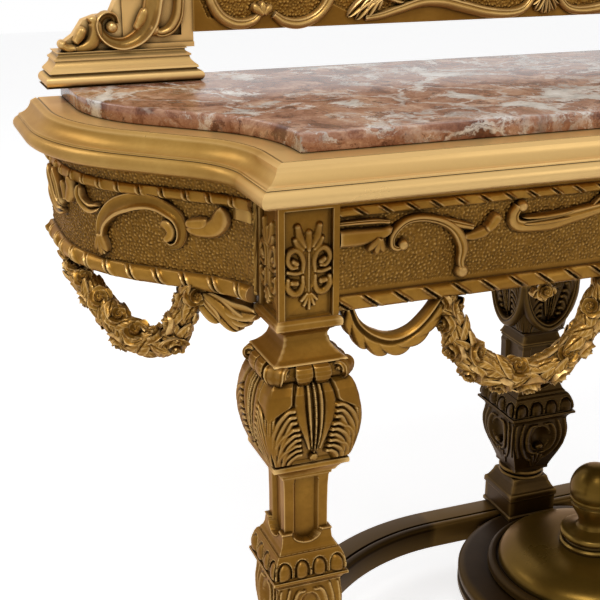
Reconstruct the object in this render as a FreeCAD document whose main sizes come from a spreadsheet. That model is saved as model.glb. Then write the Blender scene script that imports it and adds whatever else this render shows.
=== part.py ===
import FreeCAD, Part
import math
import os
from types import SimpleNamespace

import Sketcher
from FreeCAD import Placement, Rotation, Vector

# A carved and gilded pier table with a marble top, two front corner legs and one rear leg.
# Frame: +X to the right, +Y to the wall, +Z up. The origin is on the floor under the middle.
# Everything is in millimetres.

SIZES = [
    # the whole table
    ("table_width", 1724.0),
    ("table_depth", 567.0),
    ("top_height", 941.0),
    # plan of the top: the groove line is the line that every other outline follows
    ("corner_sweep", 192.5),
    ("corner_run", 57.0),
    ("hollow_radius", 155.0),
    ("belly_radius", 256.0),
    ("nose_reach", 36.0),
    ("cove_reach", 28.0),
    ("marble_inset", 37.0),
    ("board_inset", 50.0),
    ("ledge_inset", 70.0),
    # heights in the top
    ("marble_thick", 22.0),
    ("board_thick", 22.0),
    ("surround_high", 48.0),
    ("groove_drop", 3.0),
    ("cove_drop", 22.0),
    ("bead_drop", 25.0),
    # frame under the top
    ("apron_high", 155.0),
    ("apron_thick", 20.0),
    ("front_setback", 44.5),
    ("side_setback", 10.0),
    ("tenon_thick", 10.0),
    ("tenon_long", 24.0),
    ("tenon_inset", 22.0),
    ("back_overhang", 13.5),
    ("batten_width", 40.0),
    ("rail_place", 300.0),
    ("rail_thick", 30.0),
    ("rail_high", 75.0),
    ("bearer_width", 70.0),
    ("block_side", 60.0),
    # small mouldings on the frame
    ("rope_high", 16.0),
    ("rope_reach", 9.0),
    ("twist_high", 11.0),
    ("twist_reach", 6.5),
    ("twist_drop", 4.0),
    ("relief", 8.0),
    # legs
    ("leg_inset", 47.0),
    ("leg_setback", 34.0),
    ("head_width", 79.0),
    ("head_depth", 100.0),
    ("head_drop", 16.0),
    ("neck_high", 44.0),
    ("roll_high", 20.0),
    ("bulb_high", 117.0),
    ("abacus_high", 20.0),
    ("column_high", 95.0),
    ("skirt_high", 25.0),
    ("egg_high", 37.0),
    ("vase_low", 200.0),
    ("ring_low", 185.0),
    ("base_top", 160.0),
    ("neck_width", 57.0),
    ("roll_width", 108.0),
    ("bulb_width", 123.0),
    ("bulb_round", 158.0),
    ("abacus_width", 107.0),
    ("column_width", 57.0),
    ("egg_width", 106.0),
    ("vase_width", 92.0),
    ("ring_width", 62.0),
    ("base_width", 86.0),
    ("head_ledge", 3.0),
    ("panel_margin", 7.0),
    ("panel_deep", 5.0),
    ("rear_scale", 1.22),
    ("rear_bulb_drop", 40.0),
    ("rear_egg_drop", 19.0),
    # stretcher and feet
    ("stretcher_top", 112.0),
    ("stretcher_thick", 42.0),
    ("stretcher_width", 60.0),
    ("arm_start", 10.5),
    ("arm_outset", 2.5),
    ("wall_gap", 38.0),
    ("pad_width", 98.0),
    ("foot_width", 78.0),
    ("foot_waist", 48.0),
    ("spigot_width", 20.0),
    ("spigot_long", 72.0),
    ("spigot_play", 0.3),
    ("platform_width", 440.0),
    ("platform_bite", 8.5),
    ("platform_step", 12.0),
    ("neck_half", 130.0),
    ("dowel_width", 10.0),
    ("dowel_long", 60.0),
    # dome and finial
    ("ring_ledge", 50.0),
    ("ring_plate_high", 16.0),
    ("dome_ledge", 18.0),
    ("dome_high", 36.0),
    ("dome_crown", 100.0),
    ("finial_collar", 104.0),
    ("finial_neck", 46.0),
    ("ball_width", 84.0),
    ("ball_flat", 3.0),
    ("finial_high", 146.0),
    # garlands under the frame
    ("rose_span", 236.0),
    ("rose_core", 14.0),
    ("rose_large", 23.0),
    ("leaf_gap", 77.0),
    ("rose_gap", 202.0),
    ("centre_gap", 32.0),
    ("leaf_span", 120.0),
    ("leaf_core", 9.0),
    ("side_rose_start", 216.0),
    ("side_rose_end", 468.0),
    ("side_rose_sag", 86.0),
    ("side_leaf_start", 134.0),
    ("side_leaf_end", 194.0),
    ("side_leaf_sag", 48.0),
    ("garland_inset", 5.0),
    # low crest that stands on the marble at the wall
    ("plinth_inset", 157.5),
    ("plinth_width", 232.0),
    ("plinth_high", 47.0),
    ("plinth_taper", 20.0),
    ("plinth_deep", 76.5),
    ("stile_width", 104.0),
    ("stile_shift", 4.5),
    ("crest_thick", 42.0),
    ("crest_setback", 12.0),
    ("crest_gap", 68.0),
    ("crest_high", 66.0),
    ("cap_high", 15.0),
    ("cap_reach", 7.0),
    ("scroll_width", 12.0),
    ("screw_width", 5.0),
    ("screw_head", 9.0),
    ("screw_long", 40.0),
]

C45 = math.cos(math.radians(45))
GAP = 0.2  # clearance around screws and dowels
FRIEZE_DRAWING = 124.0  # height of the frieze in the units that its carving is drawn in
CREST_DRAWING = 66.0  # the same for the crest rail

doc = FreeCAD.newDocument("pier_table")
finished = []


# ---------------------------------------------------------------------------------------------
# Sizes
# ---------------------------------------------------------------------------------------------

def formula_of(value):
    """Text of a size or a plain number for a sheet formula."""
    return value.formula if isinstance(value, Size) else repr(float(value))


class Size:
    """A length that carries its value together with the sheet formula that gives it."""

    def __init__(self, value, formula):
        self.value = float(value)
        self.formula = formula

    @staticmethod
    def join(left, sign, right, value):
        return Size(value, "(%s %s %s)" % (formula_of(left), sign, formula_of(right)))

    def __float__(self):
        return self.value

    def __add__(self, other):
        return Size.join(self, "+", other, self.value + float(other))

    def __radd__(self, other):
        return Size.join(other, "+", self, float(other) + self.value)

    def __sub__(self, other):
        return Size.join(self, "-", other, self.value - float(other))

    def __rsub__(self, other):
        return Size.join(other, "-", self, float(other) - self.value)

    def __mul__(self, other):
        return Size.join(self, "*", other, self.value * float(other))

    def __rmul__(self, other):
        return Size.join(other, "*", self, float(other) * self.value)

    def __truediv__(self, other):
        return Size.join(self, "/", other, self.value / float(other))

    def __neg__(self):
        return Size.join(0, "-", self, -self.value)


def make_sheet():
    """Write the driving sizes into the sheet and give them back as formulas and as numbers."""
    sheet = doc.addObject("Spreadsheet::Sheet", "sizes")
    for row, (name, value) in enumerate(SIZES, start=1):
        sheet.set("A%d" % row, name)
        sheet.set("B%d" % row, str(value))
        sheet.setAlias("B%d" % row, name)
    doc.recompute()
    bound = {name: Size(sheet.get(name), "sizes." + name) for name, _ in SIZES}
    plain = {name: float(sheet.get(name)) for name, _ in SIZES}
    return SimpleNamespace(**bound), SimpleNamespace(**plain)


S, V = make_sheet()


def derive(q):
    """Work out the shared places. The same lines serve formulas and plain numbers."""
    q.wall = q.table_depth / 2
    q.groove_front = q.nose_reach - q.table_depth / 2
    q.corner = q.table_width / 2 - q.nose_reach - q.corner_sweep
    q.surround_top = q.top_height - q.marble_thick
    q.board_low = q.surround_top - q.board_thick
    q.frame_top = q.surround_top - q.surround_high
    q.apron_low = q.frame_top - q.apron_high
    q.head_low = q.apron_low - q.head_drop
    q.neck_low = q.head_low - q.neck_high
    q.roll_low = q.neck_low - q.roll_high
    q.bulb_low = q.roll_low - q.bulb_high
    q.abacus_low = q.bulb_low - q.abacus_high
    q.column_low = q.abacus_low - q.column_high
    q.egg_top = q.column_low - q.skirt_high
    q.egg_low = q.egg_top - q.egg_high
    q.apron_face = q.groove_front + q.front_setback
    q.apron_inner = q.apron_face + q.apron_thick
    q.back_face = q.wall - q.back_overhang - q.apron_thick
    q.leg_face = q.groove_front + q.leg_setback
    q.leg_x = q.corner - q.leg_inset
    q.leg_y = q.leg_face + q.head_width / 2
    q.rear_half = q.rear_scale * q.head_width / 2
    q.rear_y = q.back_face - q.rear_half
    q.stretcher_low = q.stretcher_top - q.stretcher_thick
    q.stretcher_back = q.wall - q.wall_gap
    q.stretcher_front = q.stretcher_back - q.stretcher_width
    q.bend_y = q.leg_y + q.arm_start
    q.bend_radius = q.stretcher_back - q.bend_y
    q.bend_x = q.leg_x + q.arm_outset - q.bend_radius
    q.platform_place = q.platform_width / 2 - q.platform_bite - q.stretcher_front
    q.ring_plate_width = q.platform_width - 2 * q.ring_ledge
    q.dome_width = q.ring_plate_width - 2 * q.dome_ledge
    q.plate_top = q.stretcher_top + q.ring_plate_high
    q.dome_top = q.plate_top + q.dome_high
    q.leaf_place = q.leg_x - q.head_width / 2 - q.leaf_gap
    q.rose_place = q.leaf_place - q.rose_gap
    q.centre_span = 2 * (q.rose_place - q.rose_span / 2 - q.centre_gap)
    q.crest_low = q.top_height + q.crest_gap
    q.crest_top = q.crest_low + q.crest_high
    q.crest_front = q.wall - q.plinth_deep + q.plinth_taper * 0.7 + q.crest_setback
    q.plinth_place = q.table_width / 2 - q.plinth_inset
    q.crest_half = q.plinth_place - q.stile_shift
    q.stile_inner = q.crest_half - q.stile_width
    return q


derive(S)
derive(V)


# ---------------------------------------------------------------------------------------------
# Building blocks: document objects
# ---------------------------------------------------------------------------------------------

def finish(feature, name):
    """Register a finished sub-part under its own name."""
    feature.Label = name
    finished.append(feature)
    return feature


def bind(feature, **values):
    """Bind properties of a feature to sizes. Double underscores stand for dots."""
    for prop, value in values.items():
        path = prop.replace("__", ".")
        feature.setExpression(path, formula_of(value))


def new_body(name):
    body = doc.addObject("PartDesign::Body", name)
    return finish(body, name)


def origin_plane(body, role):
    for feature in body.Origin.OriginFeatures:
        if feature.Role == role:
            return feature
    raise ValueError(role)


def runs_left(start, through, stop):
    """Whether an arc from start to stop turns to the left."""
    ahead = (through[0] - start[0], through[1] - start[1])
    after = (stop[0] - through[0], stop[1] - through[1])
    return ahead[0] * after[1] - ahead[1] * after[0] > 0


def draw(body, name, role, outline):
    """Draw a closed outline on an origin plane.

    Each corner is (u, v) for a straight edge that leads to it, or (u, v, radius, through) for an
    arc that leads to it, where through is a point near the middle of the arc."""
    sketch = body.newObject("Sketcher::SketchObject", name)
    sketch.AttachmentSupport = [(origin_plane(body, role), "")]
    sketch.MapMode = "FlatFace"
    ends = []
    for index, corner in enumerate(outline):
        before = outline[index - 1]
        start = (float(before[0]), float(before[1]))
        stop = (float(corner[0]), float(corner[1]))
        forward = True
        if len(corner) == 4:
            through = (float(corner[3][0]), float(corner[3][1]))
            forward = runs_left(start, through, stop)
            first, last = (start, stop) if forward else (stop, start)
            edge = Part.Arc(Vector(*first, 0), Vector(*through, 0), Vector(*last, 0))
        else:
            edge = Part.LineSegment(Vector(*start, 0), Vector(*stop, 0))
        number = sketch.addGeometry(edge, False)
        ends.append((number, 1 if forward else 2, 2 if forward else 1))
    rules = []
    formulas = []
    for index, corner in enumerate(outline):
        number, _, last = ends[index]
        following, first, _ = ends[(index + 1) % len(outline)]
        rules.append(Sketcher.Constraint("Coincident", number, last, following, first))
        for kind, axis, value in (("DistanceX", -2, corner[0]), ("DistanceY", -1, corner[1])):
            if isinstance(value, Size):
                formulas.append((len(rules), value))
                rules.append(Sketcher.Constraint(kind, number, last, value.value))
            elif value == 0:
                rules.append(Sketcher.Constraint("PointOnObject", number, last, axis))
            else:
                rules.append(Sketcher.Constraint(kind, number, last, float(value)))
        if len(corner) == 4:
            formulas.append((len(rules), corner[2]))
            rules.append(Sketcher.Constraint("Radius", number, float(corner[2])))
    sketch.addConstraint(rules)
    for number, value in formulas:
        if isinstance(value, Size):
            sketch.setExpression("Constraints[%d]" % number, value.formula)
    return sketch


def pad(body, sketch, length, reverse=False):
    feature = body.newObject("PartDesign::Pad", sketch.Name + "_pad")
    feature.Profile = sketch
    feature.Reversed = reverse
    bind(feature, Length=length)
    sketch.Visibility = False
    return feature


def turn(body, sketch):
    """Revolve a sketch on the XZ plane about the upright axis."""
    feature = body.newObject("PartDesign::Revolution", sketch.Name + "_turned")
    feature.Profile = sketch
    feature.ReferenceAxis = (sketch, ["V_Axis"])
    feature.Angle = 360
    return feature


def plate(name, outline, low, thick):
    """A flat piece cut to an outline, lying with its underside at a height."""
    body = new_body(name)
    sketch = draw(body, name + "_plan", "XY_Plane", outline)
    pad(body, sketch, thick)
    bind(body, Placement__Base__z=low)
    return body


def bored(body, name, x, y, radius, deep, low=0):
    """Bore an upright hole through a plate from its underside."""
    sketch = body.newObject("Sketcher::SketchObject", name)
    sketch.AttachmentSupport = [(origin_plane(body, "XY_Plane"), "")]
    sketch.MapMode = "FlatFace"
    circle = Part.Circle(Vector(float(x), float(y), 0), Vector(0, 0, 1), float(radius))
    number = sketch.addGeometry(circle, False)
    rules = [
        Sketcher.Constraint("DistanceX", number, 3, float(x)),
        Sketcher.Constraint("DistanceY", number, 3, float(y)),
        Sketcher.Constraint("Radius", number, float(radius)),
    ]
    if float(x) == 0:
        rules[0] = Sketcher.Constraint("PointOnObject", number, 3, -2)
    sketch.addConstraint(rules)
    for index, value in enumerate((x, y, radius)):
        if isinstance(value, Size) and rules[index].Type != "PointOnObject":
            sketch.setExpression("Constraints[%d]" % index, value.formula)
    feature = body.newObject("PartDesign::Pocket", name + "_bore")
    feature.Profile = sketch
    feature.Reversed = True
    bind(feature, Length=deep)
    return feature


def box_feature(name, x, y, z, long_x, long_y, long_z):
    feature = doc.addObject("Part::Box", name)
    bind(feature, Length=long_x, Width=long_y, Height=long_z)
    bind(feature, Placement__Base__x=x, Placement__Base__y=y, Placement__Base__z=z)
    return feature


def solid_feature(name, shape):
    """A sub-part whose form comes straight from Part's own functions."""
    feature = doc.addObject("Part::Feature", name)
    feature.Shape = shape
    feature.Placement = Placement()
    return finish(feature, name)


# ---------------------------------------------------------------------------------------------
# Building blocks: shapes
# ---------------------------------------------------------------------------------------------

def box_shape(x0, y0, z0, x1, y1, z1):
    return Part.makeBox(x1 - x0, y1 - y0, z1 - z0, Vector(x0, y0, z0))


def mirrored(shape):
    """The right-hand copy of a left-hand shape."""
    return shape.mirror(Vector(0, 0, 0), Vector(1, 0, 0))


def section(points, place):
    """A face from a closed section.

    A point is (a, b) for a straight edge that leads to it or (a, b, (c, d)) for an arc through
    (c, d). The function place turns a section point into a point in space."""
    edges = []
    for index, point in enumerate(points):
        before = points[index - 1]
        start = place(before[0], before[1])
        stop = place(point[0], point[1])
        if len(point) == 3:
            edges.append(Part.Arc(start, place(*point[2]), stop).toShape())
        else:
            edges.append(Part.LineSegment(start, stop).toShape())
    return Part.Face(Part.Wire(edges))


def fused(shapes):
    shapes = list(shapes)
    if len(shapes) == 1:
        return shapes[0]
    return shapes[0].multiFuse(shapes[1:]).removeSplitter()


def single(shape):
    """The one solid of a shape that should hold just one."""
    if len(shape.Solids) != 1:
        raise ValueError("expected one solid, found %d" % len(shape.Solids))
    return shape.Solids[0]


# ---------------------------------------------------------------------------------------------
# Plan of the top
# ---------------------------------------------------------------------------------------------

def side_plan(q, reach):
    """The left side's plan, for a line that lies reach outside the groove line.

    From the front corner it runs straight back, turns out in a hollow, slopes at 45 degrees,
    comes back in a belly and runs straight to the wall."""
    hollow_x = -(q.corner + q.hollow_radius)
    hollow_y = q.groove_front + q.corner_run
    slope = q.corner_sweep - (1 - C45) * (q.hollow_radius + q.belly_radius)
    belly_x = hollow_x + C45 * (q.hollow_radius + q.belly_radius) - slope
    belly_y = hollow_y + C45 * (q.hollow_radius + q.belly_radius) + slope
    hollow = q.hollow_radius - reach
    belly = q.belly_radius + reach
    c22 = math.cos(math.radians(22.5))
    s22 = math.sin(math.radians(22.5))
    return SimpleNamespace(
        hollow_x=hollow_x,
        hollow_y=hollow_y,
        belly_x=belly_x,
        belly_y=belly_y,
        slope=slope,
        hollow=hollow,
        belly=belly,
        start=(-(q.corner + reach), q.groove_front - reach),
        hollow_start=(-(q.corner + reach), hollow_y),
        hollow_middle=(hollow_x + hollow * c22, hollow_y + hollow * s22),
        hollow_end=(hollow_x + hollow * C45, hollow_y + hollow * C45),
        belly_start=(belly_x - belly * C45, belly_y - belly * C45),
        belly_middle=(belly_x - belly * c22, belly_y - belly * s22),
        belly_end=(belly_x - belly, belly_y),
        back=(belly_x - belly, q.wall),
    )


def top_outline(reach):
    """Closed plan of a plate that fills the outline at a reach, as corners for draw."""
    p = side_plan(S, reach)

    def flip(point):
        return (-point[0], point[1])

    return [
        p.start,
        p.hollow_start,
        (*p.hollow_end, p.hollow, p.hollow_middle),
        p.belly_start,
        (*p.belly_end, p.belly, p.belly_middle),
        p.back,
        flip(p.back),
        flip(p.belly_end),
        (*flip(p.belly_start), p.belly, flip(p.belly_middle)),
        flip(p.hollow_end),
        (*flip(p.hollow_start), p.hollow, flip(p.hollow_middle)),
        flip(p.start),
    ]


def side_run(profile, start_y, end_y):
    """Run a section of (reach, height) points along the whole left side."""
    p = side_plan(V, 0)
    slant = Vector(-p.slope, p.slope, 0)
    up = Vector(0, 0, 1)
    corner = V.corner

    def straight(y):
        return lambda a, b: Vector(-(corner + a), y, b)

    def after_hollow(a, b):
        far = V.hollow_radius - a
        return Vector(p.hollow_x + far * C45, p.hollow_y + far * C45, b)

    def before_belly(a, b):
        far = V.belly_radius + a
        return Vector(p.belly_x - far * C45, p.belly_y - far * C45, b)

    def after_belly(a, b):
        return Vector(p.belly_x - V.belly_radius - a, p.belly_y, b)

    hollow_axis = Vector(p.hollow_x, p.hollow_y, 0)
    belly_axis = Vector(p.belly_x, p.belly_y, 0)
    pieces = []
    if start_y < p.hollow_y:
        first = section(profile, straight(start_y))
        pieces.append(first.extrude(Vector(0, p.hollow_y - start_y, 0)))
    pieces.append(section(profile, straight(p.hollow_y)).revolve(hollow_axis, up, 45))
    pieces.append(section(profile, after_hollow).extrude(slant))
    pieces.append(section(profile, before_belly).revolve(belly_axis, up, -45))
    pieces.append(section(profile, after_belly).extrude(Vector(0, end_y - p.belly_y, 0)))
    return fused(pieces)


def front_run(profile, half, face):
    """Run a section of (reach, height) points along the front, out from a face."""
    start = section(profile, lambda a, b: Vector(-half, face - a, b))
    return start.extrude(Vector(2 * half, 0, 0))


def side_point(run, reach):
    """The point at a length along the left groove line, moved out by reach, and its normal."""
    p = side_plan(V, 0)
    quarter = math.radians(45)
    if run < V.corner_run:
        return Vector(-(V.corner + reach), V.groove_front + run, 0), Vector(-1, 0, 0)
    run -= V.corner_run
    if run < V.hollow_radius * quarter:
        turn_by = run / V.hollow_radius
        out = Vector(math.cos(turn_by), math.sin(turn_by), 0)
        return Vector(p.hollow_x, p.hollow_y, 0) + out * (V.hollow_radius - reach), out * -1
    run -= V.hollow_radius * quarter
    if run < p.slope / C45:
        base = Vector(*p.hollow_end, 0)
        out = Vector(-C45, -C45, 0)
        return base + Vector(-C45, C45, 0) * run + out * reach, out
    run -= p.slope / C45
    if run < V.belly_radius * quarter:
        angle = math.radians(225) - run / V.belly_radius
        out = Vector(math.cos(angle), math.sin(angle), 0)
        return Vector(p.belly_x, p.belly_y, 0) + out * (V.belly_radius + reach), out
    run -= V.belly_radius * quarter
    return Vector(p.belly_x - V.belly_radius - reach, p.belly_y + run, 0), Vector(-1, 0, 0)


def mitre_prism(reach, low, high):
    """The wedge of space that belongs to the front, between the two mitre cuts."""
    x = V.corner
    y = V.groove_front
    corners = [
        Vector(-x - reach, y - reach, low),
        Vector(x + reach, y - reach, low),
        Vector(x - reach, y + reach, low),
        Vector(-x + reach, y + reach, low),
    ]
    wedge = Part.Face(Part.makePolygon(corners + corners[:1]))
    return wedge.extrude(Vector(0, 0, high - low))


# ---------------------------------------------------------------------------------------------
# Marble, board and surround
# ---------------------------------------------------------------------------------------------

def make_top():
    plate("marble_top", top_outline(-S.marble_inset), S.surround_top, S.marble_thick)
    board = plate("top_board", top_outline(-S.board_inset), S.board_low, S.board_thick)
    for index, (x, y) in enumerate(screw_places(S)):
        radius = S.screw_width / 2 + GAP
        bite = S.screw_long - (S.board_low - S.frame_top) + GAP
        bored(board, "board_pilot_%d" % index, x, y, radius, bite)

    bottom = V.frame_top
    top = V.surround_top
    fillet = V.bead_drop - V.cove_drop
    cove = (V.cove_reach - fillet / 2, top - V.cove_drop)
    profile = [
        (-V.ledge_inset, bottom),
        (-V.ledge_inset, V.board_low),
        (-V.board_inset, V.board_low),
        (-V.board_inset, top),
        (-1, top),
        (0, top - V.groove_drop),
        (*cove, (V.cove_reach * 0.36, top - 0.62 * (top - cove[1]))),
        (V.cove_reach, top - V.cove_drop - fillet / 3),
        (V.cove_reach - fillet / 2, top - V.bead_drop),
        (V.cove_reach, bottom, (V.nose_reach, (bottom + top - V.bead_drop) / 2)),
    ]
    wide = V.ledge_inset + V.nose_reach
    prism = mitre_prism(wide, bottom - 1, top + 1)
    front = front_run(profile, V.corner + wide, V.groove_front).common(prism)
    left = side_run(profile, V.groove_front - wide, V.wall).cut(prism)
    solid_feature("surround_front", single(front))
    solid_feature("surround_left", single(left))
    solid_feature("surround_right", mirrored(single(left)))

    half = side_plan(S, -S.ledge_inset).back[0]
    batten = box_feature(
        "rear_batten", half, S.wall - S.batten_width, S.frame_top,
        -2 * half, S.batten_width, S.board_low - S.frame_top)
    finish(batten, "rear_batten")


# ---------------------------------------------------------------------------------------------
# Aprons and inner frame
# ---------------------------------------------------------------------------------------------

def head_box():
    """The space of the left front leg's head."""
    x = -V.leg_x
    half = V.head_width / 2
    return box_shape(
        x - half, V.leg_face, V.head_low, x + half, V.leg_face + V.head_depth, V.frame_top)


def make_aprons():
    half = S.leg_x - S.head_width / 2
    body = new_body("apron_front")
    middle = (S.apron_low + S.frame_top) / 2
    shoulder = (S.frame_top - S.apron_low) / 2
    cheek = shoulder - S.tenon_inset
    tip = half + S.tenon_long
    outline = [
        (-half, middle - shoulder),
        (half, middle - shoulder),
        (half, middle - cheek),
        (half, middle + cheek),
        (half, middle + shoulder),
        (-half, middle + shoulder),
        (-half, middle + cheek),
        (-half, middle - cheek),
    ]
    board = draw(body, "apron_front_face", "XZ_Plane", outline)
    pad(body, board, S.apron_thick, reverse=True)
    tenon = [
        (-tip, middle - cheek),
        (tip, middle - cheek),
        (tip, middle + cheek),
        (-tip, middle + cheek),
    ]
    pad(body, draw(body, "apron_front_tenon", "XZ_Plane", tenon), S.tenon_thick, reverse=True)
    bind(body, Placement__Base__y=S.apron_face)

    inset = V.side_setback
    profile = [
        (-inset, V.apron_low),
        (-inset, V.frame_top),
        (-inset - V.apron_thick, V.frame_top),
        (-inset - V.apron_thick, V.apron_low),
    ]
    back = V.back_face + V.apron_thick
    left = side_run(profile, V.groove_front + V.corner_run, back).cut(head_box())
    left = max(left.Solids, key=lambda solid: solid.Volume)
    solid_feature("apron_left", left)
    solid_feature("apron_right", mirrored(left))

    wide = side_plan(S, -S.side_setback - S.apron_thick).back[0]
    high = S.frame_top - S.apron_low
    finish(box_feature("apron_back", wide, S.back_face, S.apron_low, -2 * wide,
                       S.apron_thick, high), "apron_back")

    long_rail = S.back_face - S.apron_inner
    low = S.frame_top - S.rail_high
    for side, name in ((-1, "cross_rail_left"), (1, "cross_rail_right")):
        x = side * S.rail_place - S.rail_thick / 2
        rail = box_feature(name, x, S.apron_inner, low, S.rail_thick, long_rail, S.rail_high)
        finish(rail, name)

    make_rear_blocks()


def make_rear_blocks():
    """Glue blocks in the angles of the side and back aprons, fitted to the side's curve."""
    p = side_plan(V, -V.side_setback - V.apron_thick)
    low = V.frame_top - V.rail_high
    corner = Vector(p.back[0], V.back_face, low)
    inward = corner + Vector(V.block_side, 0, 0)
    tip_y = V.back_face - V.block_side
    before_straight = max(0.0, p.belly_y - tip_y)
    tip_x = p.belly_x - math.sqrt(p.belly ** 2 - before_straight ** 2)
    tip = Vector(tip_x, tip_y, low)
    face = Part.Face(Part.makePolygon([corner, inward, tip, corner]))
    block = face.extrude(Vector(0, 0, V.rail_high))
    solid_feature("rear_block_left", block)
    solid_feature("rear_block_right", mirrored(block))


def screw_places(q):
    """Centres of the screws that hold the board to the bearers."""
    near = (q.apron_inner + q.wall - q.batten_width) / 2 - q.table_depth / 4
    far = near + q.table_depth / 2
    aside = (q.bearer_width + q.rail_thick) / 4
    return [
        (side * q.rail_place + side * aside, y)
        for side in (-1, 1)
        for y in (near, far)
    ]


def make_bearers():
    """Two bearers across the frame, each screwed up into the board."""
    front = S.groove_front + S.ledge_inset
    back = S.wall - S.batten_width
    for side, name in ((-1, "bearer_left"), (1, "bearer_right")):
        middle = side * S.rail_place
        half = S.bearer_width / 2
        outline = [
            (middle - half, front),
            (middle + half, front),
            (middle + half, back),
            (middle - half, back),
        ]
        bearer = plate(name, outline, S.frame_top, S.board_low - S.frame_top)
        for index, (x, y) in enumerate(screw_places(S)):
            if float(x) * side > 0:
                through = S.board_low - S.frame_top
                bored(bearer, "%s_hole_%d" % (name, index), x, y,
                      S.screw_width / 2 + GAP, through)

    head_high = V.screw_head / 3
    screws = []
    for x, y in screw_places(V):
        shank = Part.makeCylinder(V.screw_width / 2, V.screw_long, Vector(x, y, V.frame_top))
        head = Part.makeCylinder(V.screw_head / 2, head_high,
                                 Vector(x, y, V.frame_top - head_high))
        screws.append(fused([shank, head]))
    solid_feature("board_screws", Part.makeCompound(screws))


# ---------------------------------------------------------------------------------------------
# Rope and twist mouldings
# ---------------------------------------------------------------------------------------------

def make_small_mouldings():
    """Half-round strips that carry the twisted carving, along the front and both sides."""
    start = V.groove_front + V.corner_run
    face_reach = -V.side_setback
    half = V.leg_x - V.head_width / 2
    rows = [
        ("rope", V.apron_low, V.rope_high, V.rope_reach),
        ("twist", V.frame_top - V.twist_drop - V.twist_high, V.twist_high, V.twist_reach),
    ]
    for name, low, high, reach in rows:
        def profile(base):
            return [
                (base, low),
                (base, low + high),
                (base + 1, low + high),
                (base + 1, low, (base + reach, low + high / 2)),
            ]
        solid_feature(name + "_front", front_run(profile(0), half, V.apron_face))
        strip = side_run(profile(face_reach), start, V.back_face + V.apron_thick)
        keep_out = box_shape(-V.leg_x - V.head_width / 2, V.leg_face, low - 1,
                             -V.leg_x + V.head_width, V.leg_face + V.head_depth,
                             low + high + 1)
        lead_in = box_shape(-V.corner - 2 * V.rope_reach, start - 1, low - 1, -V.leg_x,
                            V.leg_y + V.rope_reach, low + high + 1)
        strip = strip.cut(keep_out).cut(lead_in)
        strip = max(strip.Solids, key=lambda solid: solid.Volume)
        solid_feature(name + "_left", strip)
        solid_feature(name + "_right", mirrored(strip))


# ---------------------------------------------------------------------------------------------
# Legs and feet
# ---------------------------------------------------------------------------------------------

def leg_profile(head_front, head_back, scale, bulb_drop, egg_drop):
    """Half profile of a leg seen square on, as section points from the floor side up.

    The head may stand further out at the back than at the front, all else is even."""
    neck = scale * V.neck_width / 2
    roll = scale * V.roll_width / 2
    bulb = scale * V.bulb_width / 2
    abacus = scale * V.abacus_width / 2
    column = scale * V.column_width / 2
    egg = scale * V.egg_width / 2
    vase = scale * V.vase_width / 2
    ring = scale * V.ring_width / 2
    base = scale * V.base_width / 2
    bulb_low = V.bulb_low - bulb_drop
    abacus_low = V.abacus_low - bulb_drop
    column_low = V.column_low - egg_drop
    egg_top = V.egg_top - egg_drop
    egg_low = V.egg_low - egg_drop
    flare = column + 4
    right = [
        (base, V.stretcher_top),
        (base, V.base_top),
        (ring * 0.8, V.ring_low, (base * 0.72, V.ring_low - 8)),
        (ring * 0.8, V.vase_low),
        (vase * 0.8, egg_low - 6, (vase, V.vase_low + 0.6 * (egg_low - V.vase_low))),
        (egg * 0.85, egg_low - 6),
        (egg * 0.85, egg_low),
        (egg * 0.9, egg_low),
        (egg * 0.92, egg_top, (egg, egg_low + 0.7 * (egg_top - egg_low))),
        (egg * 0.86, egg_top),
        (flare, column_low, (flare + 3, egg_top + 0.4 * (column_low - egg_top))),
        (flare, abacus_low - 4, (column, (column_low + abacus_low) / 2)),
        (abacus, abacus_low + 6, (flare + 6, abacus_low + 1)),
        (abacus, bulb_low - 2),
        (bulb * 0.62, bulb_low),
        (bulb * 0.74, V.roll_low - 2, (bulb, bulb_low + 0.56 * (V.roll_low - bulb_low))),
        (roll * 0.92, V.roll_low),
        (roll * 0.92, V.neck_low, (roll, (V.roll_low + V.neck_low) / 2)),
        (neck, V.head_low - 14, (neck + 5, V.neck_low + 0.35 * (V.head_low - V.neck_low))),
        (neck + 6, V.head_low - 6, (neck + 1, V.head_low - 8)),
    ]
    left = [mirror_point(right, index) for index in range(len(right) - 1, -1, -1)]
    ledge = V.head_ledge
    head_right = [
        (head_back + ledge, V.head_low),
        (head_back + ledge, V.head_low + 5),
        (head_back, V.head_low + 9),
        (head_back, V.frame_top),
    ]
    head_left = [
        (-head_front, V.frame_top),
        (-head_front, V.head_low + 9),
        (-head_front - ledge, V.head_low + 5),
        (-head_front - ledge, V.head_low),
    ]
    return right + head_right + head_left + left


def mirror_point(points, index):
    """The left-hand partner of a point when the profile is walked the other way."""
    point = points[index]
    if index + 1 < len(points) and len(points[index + 1]) == 3:
        middle = points[index + 1][2]
        return (-point[0], point[1], (-middle[0], middle[1]))
    return (-point[0], point[1])


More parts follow.
